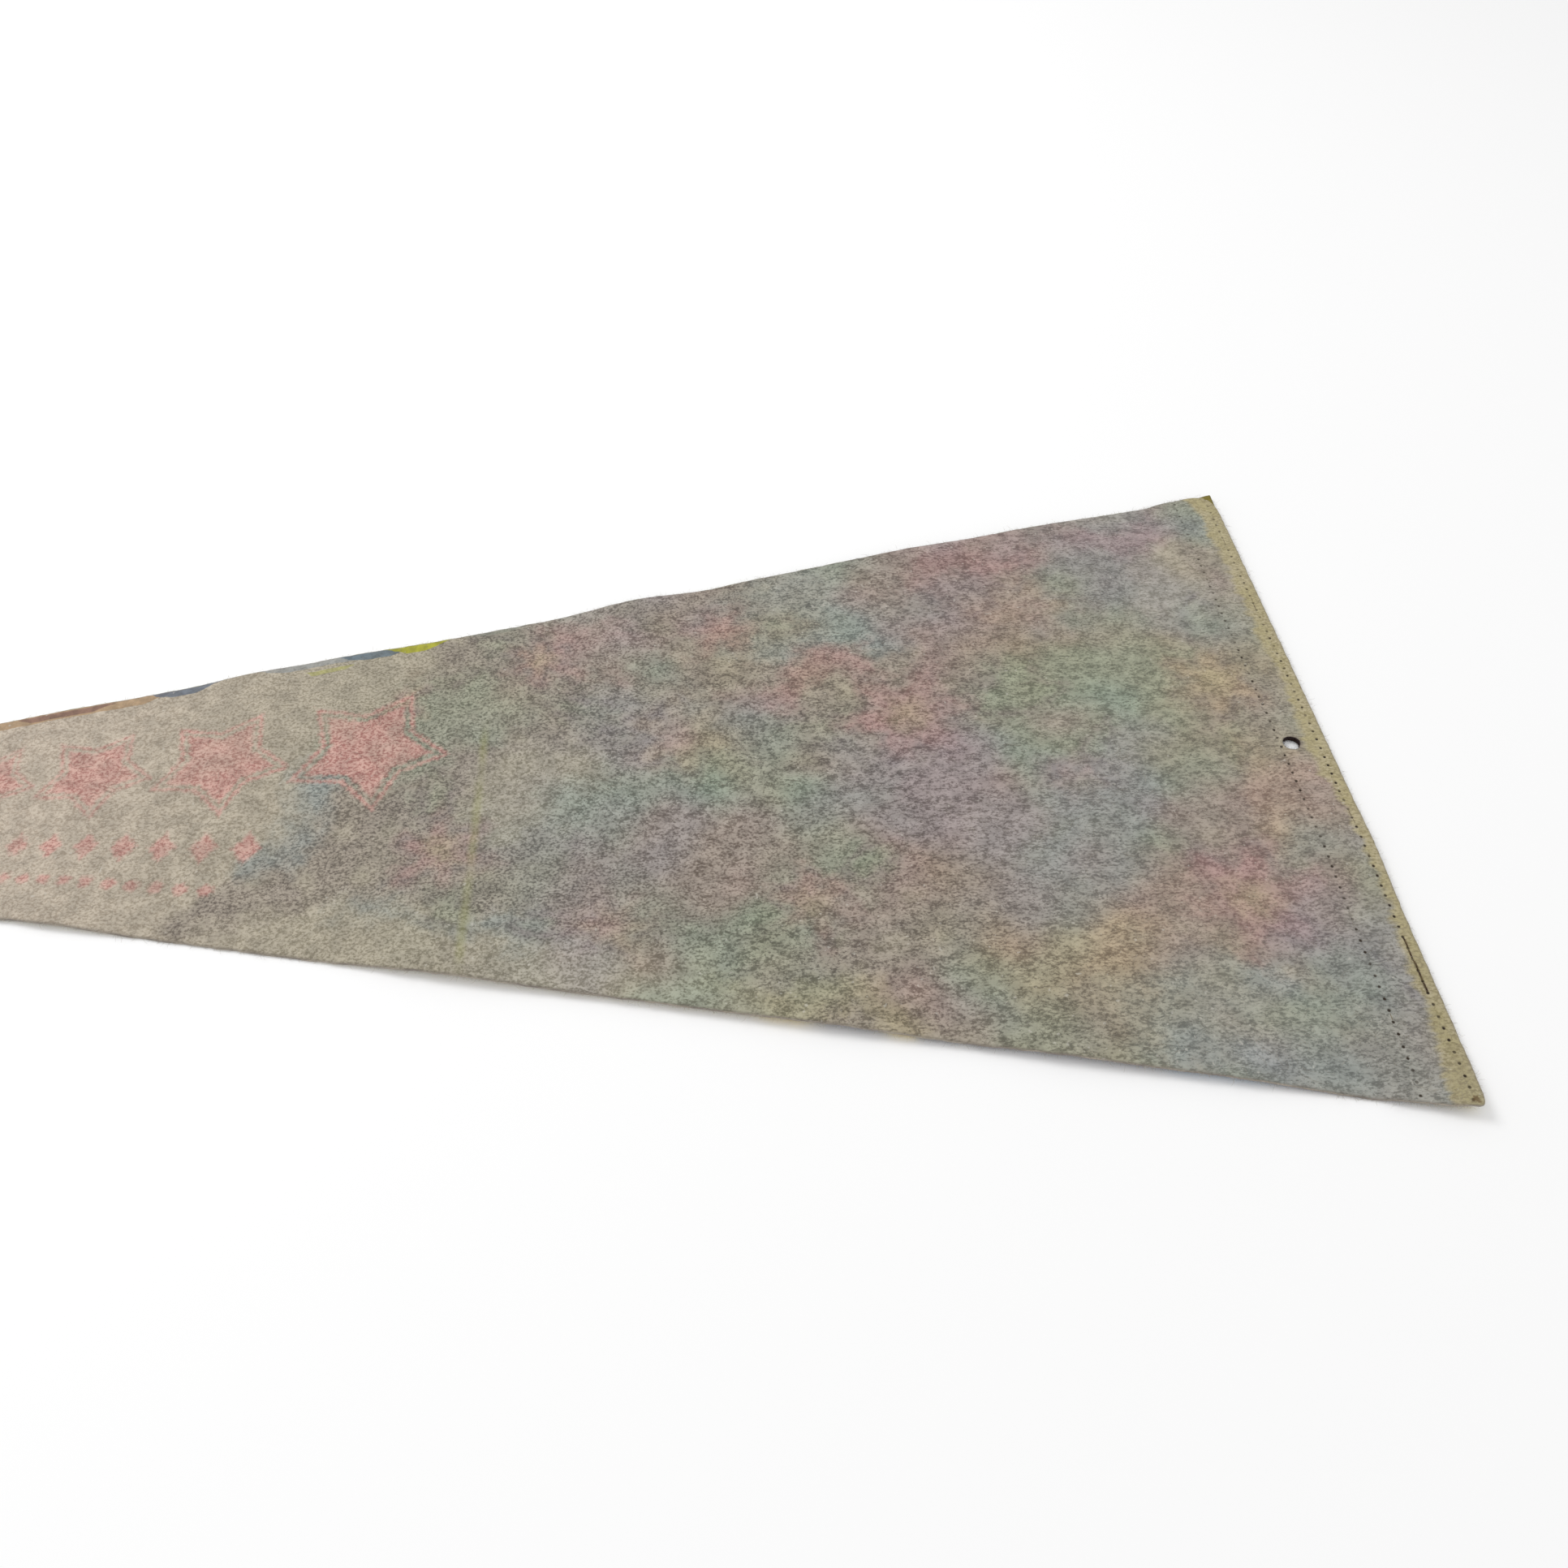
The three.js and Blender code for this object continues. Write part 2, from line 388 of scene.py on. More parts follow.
def snap_to_hole(values, centre):
    """Moves the grid line nearest to each side of the hole onto that side."""
    values = np.array(values, float)
    for side in (centre - HOLE_RADIUS, centre + HOLE_RADIUS):
        values[np.argmin(np.abs(values - side))] = side
    return values


def tip_bulge(x, y):
    """How far the round tip's columns bow towards the tip."""
    arc = np.sqrt(np.maximum(TIP_RADIUS**2 - y**2, 0)) - TIP_RADIUS * math.sin(TAPER_ANGLE)
    return np.maximum(arc, 0) * (1 - smooth(x, TIP_TANGENT_X, TIP_TANGENT_X + TIP_BULGE_REACH))


def felt_sheet():
    """The printed felt's plan."""
    sheet = Sheet()
    insets = column_insets(OUTER_X - TIP_TANGENT_X - SHORTEST_STEP)
    for inset in snap_to_hole(insets, HOLE_INSET)[::-1]:
        x = max(OUTER_X - inset, TIP_TANGENT_X)
        places = across_places(half_width(x), rows_at(inset, x))
        if inset < HEADER_END:
            places = snap_to_hole(places, 0.0)
        bow = (OUTER_X - wide_edge_x(places)) * smooth(inset, BOW_REACH, 0)
        xs = x - bow - tip_bulge(x, places)
        scale = half_width(xs) / half_width(x) if inset < BOW_REACH else 1.0
        sheet.add_column(np.stack([xs, places * scale], axis=1))
    sheet.join_columns()
    return sheet


def strip_sheet():
    """The header strip's plan: its inner edge follows the wide edge."""
    sheet = Sheet()
    insets = column_insets(STRIP_WIDTH, STRIP_WIDTH)
    for inset in snap_to_hole(insets, HOLE_INSET)[::-1]:
        half = half_width(OUTER_X - inset)
        places = snap_to_hole(across_places(half, STRIP_ROWS), 0.0)
        xs = wide_edge_x(places) - inset
        ys = places * half_width(xs) / half
        ys = ys + STRIP_SET_BACK * smooth(-ys, 0.8 * half, half)
        sheet.add_column(np.stack([xs, ys], axis=1))
    sheet.join_columns()
    return sheet


def boundary_edges(faces):
    """Directed edges that only one face uses."""
    edges = set()
    for face in faces:
        for a, b in zip(face, face[1:] + face[:1]):
            edges.add((int(a), int(b)))
    return [(a, b) for a, b in edges if (b, a) not in edges]


def distance_to_cut(x, y, inner_end=None):
    """Distance from the nearest cut edge, the hole's included."""
    inset = inset_of(x, y)
    parts = [
        (half_width(x) - np.abs(y)) * math.cos(TAPER_ANGLE),
        inset,
        hole_distance(x, y),
        x + LENGTH / 2,
    ]
    if inner_end is not None:
        parts.append(inner_end - inset)
    return np.maximum(np.minimum.reduce(parts), 0)


def without_hole(faces, ring):
    """Drops the faces that lie in the hole or reach into it."""
    kept = []
    for face in faces:
        places = [ring[i] for i in face]
        if min(places) > 1 - ON_RING and max(places) > 1 + ON_RING:
            kept.append(face)
    return kept


def wobbled(x, y, edge, wobble):
    """The plan with slightly uneven cut edges."""
    ragged = wobble * cut_wobble(x, y) * np.exp(-edge / WOBBLE_FADE)
    return x + ragged * WOBBLE_ALONG, y + ragged * np.sign(y) * (edge < WOBBLE_END)


def thick_mesh(name, sheet, corners, underside, topside, wobble, inner_end=None):
    """A closed mesh of a sheet, its points, and which part of the surface each face is."""
    x, y = np.concatenate(sheet.points).T
    x, y, ring = hole_warp(x, y)
    x, y = corner_warp(x, y, corners)
    edge = distance_to_cut(x, y, inner_end)
    x, y = wobbled(x, y, edge, wobble)
    faces = without_hole(sheet.faces, ring)
    used = np.array(sorted({int(i) for face in faces for i in face}))
    place = {int(old): new for new, old in enumerate(used)}
    faces = [tuple(place[int(i)] for i in face) for face in faces]
    x, y, edge = x[used], y[used], edge[used]
    count = len(used)
    low, high = underside(x, y, edge), topside(x, y, edge)
    points = np.concatenate([np.stack([x, y, low], 1), np.stack([x, y, high], 1)])
    top = [tuple(i + count for i in face) for face in faces]
    under = [tuple(reversed(face)) for face in faces]
    rim, points = rim_faces(faces, points, count)
    obj = new_mesh(name, points, top + under + rim)
    sides = np.repeat([TOP, UNDERSIDE, CUT], [len(top), len(under), len(rim)])
    return obj, points, sides


def new_object(name, data):
    obj = bpy.data.objects.new(name, data)
    bpy.context.scene.collection.objects.link(obj)
    return obj


def new_mesh(name, points, faces):
    """A smooth-shaded mesh object from points in millimetres."""
    mesh = bpy.data.meshes.new(name)
    mesh.from_pydata((points * MM).tolist(), [], faces)
    mesh.polygons.foreach_set("use_smooth", np.ones(len(faces), dtype=bool))
    return new_object(name, mesh)


def unit(vector):
    return vector / max(np.hypot(*vector), TINY)


def rim_faces(faces, points, count):
    """The cut edge: a slightly full middle line between the top's edge and the underside's."""
    edges = boundary_edges(faces)
    outward = {}
    for a, b in edges:
        dx, dy = points[b, :2] - points[a, :2]
        for i in (a, b):
            outward[i] = outward.get(i, np.zeros(2)) + unit(np.array([dy, -dx]))
    order = sorted(outward)
    middle = {i: 2 * count + n for n, i in enumerate(order)}
    extra = []
    for i in order:
        unevenness = float(cut_wobble(*(points[i, :2] * RIM_FINENESS)))
        full = RIM_FULLNESS + RIM_UNEVENNESS * unevenness
        x, y = points[i, :2] + unit(outward[i]) * full
        extra.append((x, y, (points[i, 2] + points[i + count, 2]) / 2))
    rim = []
    for a, b in edges:
        rim.append((a, b, middle[b], middle[a]))
        rim.append((middle[a], middle[b], b + count, a + count))
    return rim, np.concatenate([points, np.array(extra)])


def rounded(edge, depth):
    return depth * (1 - smooth(edge, 0, ROUNDING))


def felt_low(x, y, edge):
    return felt_underside(x, y) + rounded(edge, UNDER_ROUNDING)


def felt_high(x, y, edge):
    z = felt_back(x, y) + UNEVENNESS * lumps(x, y) + UNEVENNESS * dents(x, y)
    return z - rounded(edge, BACK_ROUNDING) - sewing_depth(x, y)


def strip_low(x, y, edge):
    groove = STRIP_GROOVE_DEPTH * row_groove(x, y, STRIP_GROOVE_SPREAD)
    return lift(x, y) + rounded(edge, UNDER_ROUNDING) + groove


def strip_high(x, y, edge):
    return lift(x, y) + STRIP_FELT - rounded(edge, UNDER_ROUNDING)


felt, felt_points, felt_sides = thick_mesh(
    "printed_felt_sheet", felt_sheet(), CORNERS["felt"], felt_low, felt_high, FELT_WOBBLE
)
strip, strip_points, _ = thick_mesh(
    "header_strip_sheet",
    strip_sheet(),
    CORNERS["strip"],
    strip_low,
    strip_high,
    STRIP_WOBBLE,
    STRIP_WIDTH,
)


# Print: stars towards the tip, and a garden of flowers, leaves and ribbons at the wide end

class Flower(NamedTuple):
    """Petals around a centre, with a leaf on each side."""
    petals: str
    centre: str
    along: float  # from the wide end
    across: float  # from the middle, the far side positive
    size: float
    turn: float


PATCHES = (
    # ink, form, and its place, size and turn as for a flower. A bare one leaves the felt showing
    ("sage", "cloud", 78, 34, 118, 35),
    ("sage", "cloud", 214, -30, 138, -12),
    ("sage", "cloud", 326, 30, 84, 20),
    ("blue", "cloud", 172, 84, 104, 8),
    ("blue", "cloud", 62, -112, 84, -14),
    ("blue", "cloud", 372, -12, 58, 60),
    ("bare", "cloud", 286, -4, 66, 30),
    ("bare", "cloud", 34, 92, 58, 80),
    ("bare", "cloud", 118, -34, 52, 10),
    ("peach", "cloud", 112, -78, 72, 16),
    ("peach", "cloud", 24, -22, 50, 86),
    ("pink", "cloud", 262, 66, 56, -24),
    ("pink", "ribbon", 84, 112, 118, 12),
    ("blue", "ribbon", 300, -66, 92, -8),
    ("yellow", "ribbon", 196, -96, 70, -11),
    ("pink", "ribbon", 188, 44, 58, 24),
)
FLOWERS = (
    Flower("pink", "yellow", 148, 24, 50, 10),
    Flower("peach", "red", 94, 76, 44, 70),
    Flower("pink", "yellow", 46, -66, 48, 130),
    Flower("peach", "red", 232, 20, 42, 160),
    Flower("red", "yellow", 190, -60, 32, 40),
    Flower("pink", "yellow", 314, -30, 32, 100),
    Flower("peach", "red", 340, 46, 26, 20),
    Flower("red", "yellow", 286, 62, 24, 150),
    Flower("peach", "yellow", 30, 34, 38, 85),
    Flower("pink", "red", 216, 74, 28, 0),
    Flower("peach", "red", 256, -64, 26, 175),
    Flower("red", "yellow", 92, -14, 26, 60),
)
CENTRE_SHARE, LEAF_SHARE, LEAF_REACH = 0.30, 0.95, 0.80  # of a flower's size
DOT_PITCH, DOT_SIZE = 19.0, 3.2
CLOUD_SQUASH, CLOUD_SCALE = 1.5, 0.75  # a scale brings a reach close to a true distance
PETALS, PETAL_DEPTH, PETAL_SCALE = 6, 0.20, 0.9
LEAF_BELLY = 0.17  # of its size
RIBBON_HALF, RIBBON_WAVE, RIBBON_WAVE_LENGTH = 7.0, 5.5, 52.0
FIELD_START, FIELD_END, FIELD_SLANT = 8.0, 362.0, 0.55
NEAR_RIPPLE, NEAR_RIPPLE_LENGTH = 3.0, 17.0
TIP_RIPPLE, TIP_RIPPLE_LENGTH = 8.0, 11.0
SPILL = 6.0  # how far the other inks go past the ground's border
DOT_CLEARANCE = 4.0  # between a dot and an outlined form
BARE_BAND, BARE_BAND_AT, BARE_BAND_REACH = 27.0, 300.0, 140.0  # along the near edge
BLANK = 1.2  # bare felt around each outlined form
FAR_OFF = -50.0  # the reach of an ink that is nowhere near


def disc(x, y, size):
    return size / 2 - np.hypot(x, y)


def cloud(x, y, size):
    y = CLOUD_SQUASH * y
    angle = np.arctan2(y, x)
    edge = 0.84 + 0.10 * np.sin(3 * angle + size) + 0.06 * np.sin(5 * angle + 2 * size)
    return (size / 2 * edge - np.hypot(x, y)) * CLOUD_SCALE


def flower(x, y, size):
    edge = 1 - PETAL_DEPTH + PETAL_DEPTH * np.cos(PETALS * np.arctan2(y, x))
    return (size / 2 * edge - np.hypot(x, y)) * PETAL_SCALE


def leaf(x, y, size):
    half, belly = size / 2, size * LEAF_BELLY
    radius = (half**2 + belly**2) / (2 * belly)
    return radius - np.hypot(x, np.abs(y) + radius - belly)


def ribbon(x, y, size):
    middle = RIBBON_WAVE * np.sin(x * 2 * np.pi / RIBBON_WAVE_LENGTH)
    return np.minimum(RIBBON_HALF - np.abs(y - middle), size / 2 - np.abs(x))


FORMS = {"disc": disc, "cloud": cloud, "flower": flower, "leaf": leaf, "ribbon": ribbon}


def placed(form, x, y, along, across, size, turn):
    """A form's reach, with the form moved to its place and turned by degrees."""
    c, s = math.cos(math.radians(turn)), math.sin(math.radians(turn))
    dx, dy = x - (WIDE_X - along), y - across
    return FORMS[form](dx * c + dy * s, dy * c - dx * s, size)


def dots(x, y):
    """An even scatter of small dots."""
    row = np.round(y / DOT_PITCH)
    u = (x / DOT_PITCH + 0.5 * (row % 2)) % 1 - 0.5
    v = y / DOT_PITCH - row
    return DOT_SIZE / 2 - DOT_PITCH * np.hypot(u, v)


def field(x, y):
    """The printed field: a wavy border towards the tip, and a bare band along the near edge."""
    along = WIDE_X - x
    band = BARE_BAND * bump((along - BARE_BAND_AT) / BARE_BAND_REACH)
    ripple = NEAR_RIPPLE * np.sin(along / NEAR_RIPPLE_LENGTH) * (band > 0)
    near_border = half_width(x) + y - band - ripple
    ripple = TIP_RIPPLE * np.sin(y / TIP_RIPPLE_LENGTH)
    tip_border = FIELD_END - FIELD_SLANT * y - along + ripple
    return np.minimum.reduce([along - FIELD_START, tip_border, near_border])


def leaf_beside(f, side, petals, x, y):
    """The reach of a flower's leaf, clear of its petals."""
    angle = math.radians(f.turn)
    along = f.along - side * LEAF_REACH * f.size * math.cos(angle)
    across = f.across + side * LEAF_REACH * f.size * math.sin(angle)
    reach = placed("leaf", x, y, along, across, LEAF_SHARE * f.size, f.turn)
    return np.minimum(reach, -petals - BLANK)


def ink_layers(x, y):
    """Each ink's reach: how far inside its edge a place is, in mm, and negative outside it."""
    inks = {name: np.full(np.shape(x), FAR_OFF) for name in (*FIELD_INKS, "bare")}

    def add(ink, reach):
        inks[ink] = np.maximum(inks[ink], reach)

    for ink, form, *place in PATCHES:
        add(ink, placed(form, x, y, *place))
    for f in FLOWERS:
        petals = placed("flower", x, y, *f[2:])
        add("outline", petals)
        add(f.petals, petals)
        add(f.centre, placed("disc", x, y, f.along, f.across, CENTRE_SHARE * f.size, 0))
        for side in (-1, 1):
            reach = leaf_beside(f, side, petals, x, y)
            add("green", reach)
            add("outline", reach)
    printed = field(x, y)
    clear_dots = np.minimum(dots(x, y), -inks["outline"] - DOT_CLEARANCE)
    inside = {ink: np.minimum(inks[ink], printed + SPILL) for ink in FIELD_INKS}
    inside["ground"] = np.minimum.reduce([printed, -inks["bare"], -clear_dots])
    return inside


# The bare margin that shows the yellow strip's colour, by place across
MARGIN_WIDTH = (
    # across, width
    (-141, 9.9),
    (-124, 7.7),
    (-110, 6.2),
    (-95, 6.9),
    (-70, 3.9),
    (-46, 3.6),
    (-26, 4.6),
    (-3, 8.8),
    (27, 6.2),
    (54, 7.3),
    (85, 7.1),
    (103, 8.3),
    (130, 8.2),
    (140, 12.4),
)


def set_values(obj, **named_values):
    """Gives each point of a mesh named values for its material."""
    for name, values in named_values.items():
        values = np.asarray(values, dtype=np.float32)
        obj.data.attributes.new(name, "FLOAT", "POINT").data.foreach_set("value", values)


def set_felt_values(x, y):
    inks = {"ink_" + name: reach for name, reach in ink_layers(x, y).items()}
    set_values(
        felt,
        **inks,
        margin=table_value(y, MARGIN_WIDTH) - inset_of(x, y),
        far=(half_width(x) - y) * math.cos(TAPER_ANGLE),
        edge=distance_to_cut(x, y),
        needle=needle_distance(x, y),
        hole=hole_distance(x, y),
    )


def set_strip_values(x, y):
    edge = distance_to_cut(x, y - STRIP_SET_BACK * (y < 0), STRIP_WIDTH)
    set_values(strip, hole=hole_distance(x, y), edge=edge)


# Materials

def returned(value):
    """The light that a surface returns, from 0 to 1, for a value as seen, from 0 to 255."""
    value /= 255
    return value / 12.92 if value <= 0.04045 else ((value + 0.055) / 1.055) ** 2.4


class Ink(NamedTuple):
    """An ink on the printed face, and how it shows through to the back. Colours are as seen."""
    face: tuple
    fibres: tuple  # the back's lighter fibres over it
    gaps: tuple  # what shows between them
    blur: float  # how far its edge spreads on the back, in mm
    through: float


INKS = {
    "ground": Ink((82, 74, 88), (158, 148, 136), (95, 86, 79), 6.0, 0.95),
    "sage": Ink((122, 148, 120), (155, 161, 142), (99, 104, 88), 9.0, 0.85),
    "blue": Ink((92, 122, 148), (155, 163, 159), (101, 109, 107), 8.0, 0.75),
    "green": Ink((66, 104, 66), (156, 163, 138), (96, 103, 84), 6.0, 0.50),
    "peach": Ink((233, 165, 126), (184, 163, 138), (124, 104, 85), 8.0, 0.80),
    "pink": Ink((206, 96, 112), (179, 147, 141), (120, 89, 85), 7.0, 0.85),
    "red": Ink((182, 52, 62), (183, 148, 140), (122, 91, 85), 6.0, 0.60),
    "yellow": Ink((230, 200, 76), (181, 169, 132), (122, 114, 85), 6.0, 0.60),
    "outline": Ink((58, 44, 54), (138, 127, 122), (88, 78, 75), 4.0, 0.80),
    "star": Ink((190, 36, 42), (203, 161, 150), (160, 106, 99), 1.2, 0.88),
}
DRIFT_SIZE, DRIFT_SHIFT = 46.0, 70.0
DRIFT_ENDS = (-20.0, 100.0)  # x: the tints come in from the one to the other
DRIFTS = (
    # the field's wide, faint tints: in its fibres, in its gaps, and their share
    ((145, 161, 144), (93, 105, 91), 0.54),
    ((170, 140, 136), (112, 83, 79), 0.55),
    ((165, 154, 122), (106, 98, 76), 0.36),
    ((150, 152, 160), (93, 95, 101), 0.40),
)
FIELD_INKS = tuple(name for name in INKS if name != "star")
OUTLINE_WIDTH = 1.1
CREAM_FACE = (216, 206, 182)
UNSHADED_CREAM = ((191, 179, 163), (160, 146, 130))  # fibres, gaps
# A darker copy of the cream, for painted shade
SHADED_CREAM = ((174, 166, 148), (131, 124, 106))
CREAM_SHADE_ENDS = (-150.0, 0.0)  # x: painted shade, the cream darker towards the wide end


GRAIN_STEP = (0.36, 0.60)  # where the wool's grain turns from a gap to a fibre
SHARP_STEP = (0.9, 0.1)  # mm from a cut edge: a mark along it starts and is strongest


class Graph:
    """A short way to write a material's nodes. Places are in millimetres."""

    def __init__(self, name):
        self.material = bpy.data.materials.new(name)
        self.material.use_nodes = True
        self.tree = self.material.node_tree
        place = self.node("TexCoord", {}, "Object")
        self.place = self.vector("MULTIPLY", place, (1 / MM, 1 / MM, 1 / MM))

    def put(self, socket, value):
        """Links or sets a socket. A colour that is set is as seen, from 0 to 255."""
        if isinstance(value, bpy.types.NodeSocket):
            self.tree.links.new(value, socket)
        elif socket.type == "RGBA":
            socket.default_value = (*map(returned, value), 1.0)
        else:
            socket.default_value = value

    def node(self, kind, inputs, output=0, **settings):
        """One of the outputs of a new node."""
        node = self.tree.nodes.new("ShaderNode" + kind)
        for name, setting in settings.items():
            setattr(node, name, setting)
        for name, value in inputs.items():
            self.put(node.inputs[name], value)
        return node.outputs[output]

    def math(self, operation, a, b=0.0):
        return self.node("Math", {0: a, 1: b}, operation=operation)

    def vector(self, operation, a, b):
        return self.node("VectorMath", {0: a, 1: b}, operation=operation)

    def distance(self, place):
        return self.node("VectorMath", {0: self.place, 1: place}, "Value", operation="DISTANCE")

    def axis(self, name):
        return self.node("SeparateXYZ", {0: self.place}, name)

    def value(self, name):
        """A value that the mesh's points hold."""
        return self.node("Attribute", {}, "Fac", attribute_name=name)

    def add(self, a, b):
        return self.math("ADD", a, b)

    def less(self, a, b):
        return self.math("SUBTRACT", a, b)

    def times(self, a, b):
        return self.math("MULTIPLY", a, b)

    def size_of(self, a):
        return self.math("ABSOLUTE", a)

    def length(self, a, b):
        return self.math("SQRT", self.add(self.times(a, a), self.times(b, b)))

    def noise(self, size, detail=3.0, stretch=(1.0, 1.0, 1.0), shift=0.0):
        """Noise from 0 to 1 whose lumps are about size mm. A larger stretch makes them narrower."""
        place = self.vector("ADD", self.place, (shift, shift, shift)) if shift else self.place
        inputs = {
            "Vector": self.vector("MULTIPLY", place, stretch),
            "Scale": 0.6 / size,
            "Detail": detail,
            "Roughness": 0.6,
        }
        return self.node("TexNoise", inputs, "Fac")

    def wander(self, size, reach, stretch=(1.0, 1.0, 1.0)):
        """An unevenness in mm: noise between about minus reach and plus reach."""
        return self.times(self.less(self.noise(size, 3.0, stretch), 0.5), 4.0 * reach)

    def step(self, value, low, high, to_low=0.0, to_high=1.0):
        """A soft step from to_low to to_high as value goes from low to high."""
        names = ("Value", "From Min", "From Max", "To Min", "To Max")
        inputs = dict(zip(names, (value, low, high, to_low, to_high)))
        return self.node("MapRange", inputs, "Result", interpolation_type="SMOOTHSTEP")

    def spread(self, noise, to_low=0.0, to_high=1.0):
        """A noise's soft patches, as numbers from to_low to to_high."""
        return self.step(noise, 0.35, 0.65, to_low, to_high)

    def blend(self, share, a, b):
        """Two numbers mixed by a share."""
        return self.add(a, self.times(share, self.less(b, a)))

    def mix(self, share, a, b):
        return self.node("Mix", {"Factor": share, "A": a, "B": b}, "Result", data_type="RGBA")

    def patches(self, size, a, b):
        """Two colours in soft patches of about size mm."""
        return self.mix(self.spread(self.noise(size)), a, b)

    def wool(self, grain, gaps, fibres):
        """One colour in the grain's gaps and another on its fibres."""
        return self.mix(self.step(grain, *GRAIN_STEP), gaps, fibres)

    def tone(self, colour, factor):
        """The colour made darker or lighter by a factor from the nodes."""
        if isinstance(colour, tuple):
            colour = [returned(value) for value in colour]
        return self.node("VectorMath", {0: colour, "Scale": factor}, operation="SCALE")

    def finish(self, colour, height, relief):
        """Matt wool: the colour, and a relief in mm that follows height."""
        bump_inputs = {"Strength": 1.0, "Distance": relief * MM, "Height": height}
        shader_inputs = {
            "Base Color": colour,
            "Roughness": 0.95,
            "Specular IOR Level": 0.15,
            "Sheen Weight": 0.12,
            "Sheen Roughness": 0.6,
            "Normal": self.node("Bump", bump_inputs, "Normal"),
        }
        for name, value in shader_inputs.items():
            self.put(self.tree.nodes["Principled BSDF"].inputs[name], value)
        return self.material


def strands(g, size, stretch, shift):
    """Thin curly fibres: the lines where a noise crosses its middle."""
    off_middle = g.size_of(g.less(g.noise(size, 2.0, stretch, shift), 0.5))
    return g.step(off_middle, 0.0, 0.035, 1.0, 0.0)


def wool_grain(g, streaked):
    """Matted wool from 0, a gap, to 1, a fibre on top. Streaked runs the fibres along the cloth."""
    matted = g.noise(0.52, 3.0, (0.85, 1.0, 0.4))
    streaks = g.noise(0.48, 3.0, (0.45, 1.0, 0.4), 40.0)
    grain = g.blend(streaked, matted, streaks)
    light = strands(g, 1.1, (0.6, 1.0, 0.3), 90.0)
    dark = strands(g, 1.3, (0.5, 1.0, 0.3), 170.0)
    return g.add(grain, g.times(g.less(light, dark), 0.08))


class Row(NamedTuple):
    """A row of forms that shrink towards the tip. Sizes are shares of the distance to the point."""
    first: float  # the first one's distance from the sharp point
    ratio: float  # the next one's share of that
    count: int
    size: float
    across: float


STAR_ROW = Row(327.0, 0.842, 14, 0.182, 0.060)
DIAMOND_ROW = Row(292.0, 0.950, 40, 0.045, -0.080)
PEARL_ROW = Row(282.0, 0.970, 80, 0.017, -0.143)
STAR_POINTS, STAR_INNER, STAR_TURN = 5, 0.58, 1.4
STAR_GAP, STAR_LINE = 0.036, 0.022  # of its size: a bare gap inside a thin line
DIAMOND_SLOPE_U, DIAMOND_SLOPE_V = 0.80, 0.60


def shrinking_row(g, row):
    """Places in the row's nearest cell, and that cell's distance from the sharp point."""
    x, y = g.axis("X"), g.axis("Y")
    distance = g.math("MAXIMUM", g.less(x, POINT_X), 1.0)
    order = g.math("ROUND", g.math("LOGARITHM", g.times(distance, 1 / row.first), row.ratio))
    order = g.math("MINIMUM", g.math("MAXIMUM", order, 0.0), row.count - 1.0)
    middle = g.times(g.math("POWER", row.ratio, order), row.first)
    u = g.math("DIVIDE", g.less(distance, middle), middle)
    v = g.less(g.math("DIVIDE", y, middle), row.across)
    return u, v, middle


def star_row(g):
    """The reach of the stars, each solid inside a gap and a thin line."""
    u, v, middle = shrinking_row(g, STAR_ROW)
    outer, sector = STAR_ROW.size / 2, math.pi / STAR_POINTS
    inner = outer * STAR_INNER
    angle = g.math("PINGPONG", g.add(g.math("ARCTAN2", v, u), STAR_TURN + 2 * math.pi), sector)
    radius = g.length(u, v)
    edge_x, edge_y = inner * math.cos(sector) - outer, inner * math.sin(sector)
    from_tip = g.less(outer, g.times(radius, g.math("COSINE", angle)))
    aside = g.times(radius, g.math("SINE", angle))
    length = math.hypot(edge_x, edge_y)
    reach = g.add(g.times(from_tip, edge_y / length), g.times(aside, edge_x / length))
    half_line = STAR_LINE * STAR_ROW.size / 2
    off_line = g.size_of(g.less(reach, half_line))
    solid = g.less(reach, (STAR_LINE + STAR_GAP) * STAR_ROW.size)
    return g.times(g.math("MAXIMUM", g.less(half_line, off_line), solid), middle)


def diamond_row(g):
    u, v, middle = shrinking_row(g, DIAMOND_ROW)
    off = g.add(g.times(g.size_of(u), DIAMOND_SLOPE_U), g.times(g.size_of(v), DIAMOND_SLOPE_V))
    return g.times(g.less(DIAMOND_SLOPE_V * DIAMOND_ROW.size / 2, off), middle)


def pearl_row(g):
    u, v, middle = shrinking_row(g, PEARL_ROW)
    return g.times(g.less(PEARL_ROW.size / 2, g.length(u, v)), middle)


def ink_reach(g, name):
    """How far inside its ink's edge a place is, in mm."""
    if name == "star":
        return g.math("MAXIMUM", star_row(g), g.math("MAXIMUM", diamond_row(g), pearl_row(g)))
    reach = g.value("ink_" + name)
    if name == "outline":
        return g.less(OUTLINE_WIDTH / 2, g.size_of(reach))
    return reach


# The back: pairs are where a change starts and ends, along x unless said otherwise
STREAK_ENDS, STREAKED = (20.0, 240.0), (0.15, 0.60)  # the grain runs along more at the wide end
SOAK_SIZE, SOAK_LEAST = 15.0, 0.72
MATTED_ENDS, MATTED = (150.0, 290.0), 0.16  # the gaps are lighter at the wide end
COVER_SIZE, COVER = 2.2, 0.45
MOTTLE_SIZE, MOTTLE = 4.0, (0.86, 1.13)


def soaked_inks(g, fibres, gaps):
    """The inks that came through, softer at their edges than on the face."""
    soak = g.step(g.noise(SOAK_SIZE), *GRAIN_STEP, SOAK_LEAST, 1.0)
    for name, ink in INKS.items():
        reach = g.add(ink_reach(g, name), g.wander(ink.blur * 0.9, ink.blur * 0.8))
        share = g.times(g.step(reach, -ink.blur, ink.blur, 0.0, ink.through), soak)
        fibres = g.mix(share, fibres, ink.fibres)
        gaps = g.mix(share, gaps, ink.gaps)
    return fibres, gaps


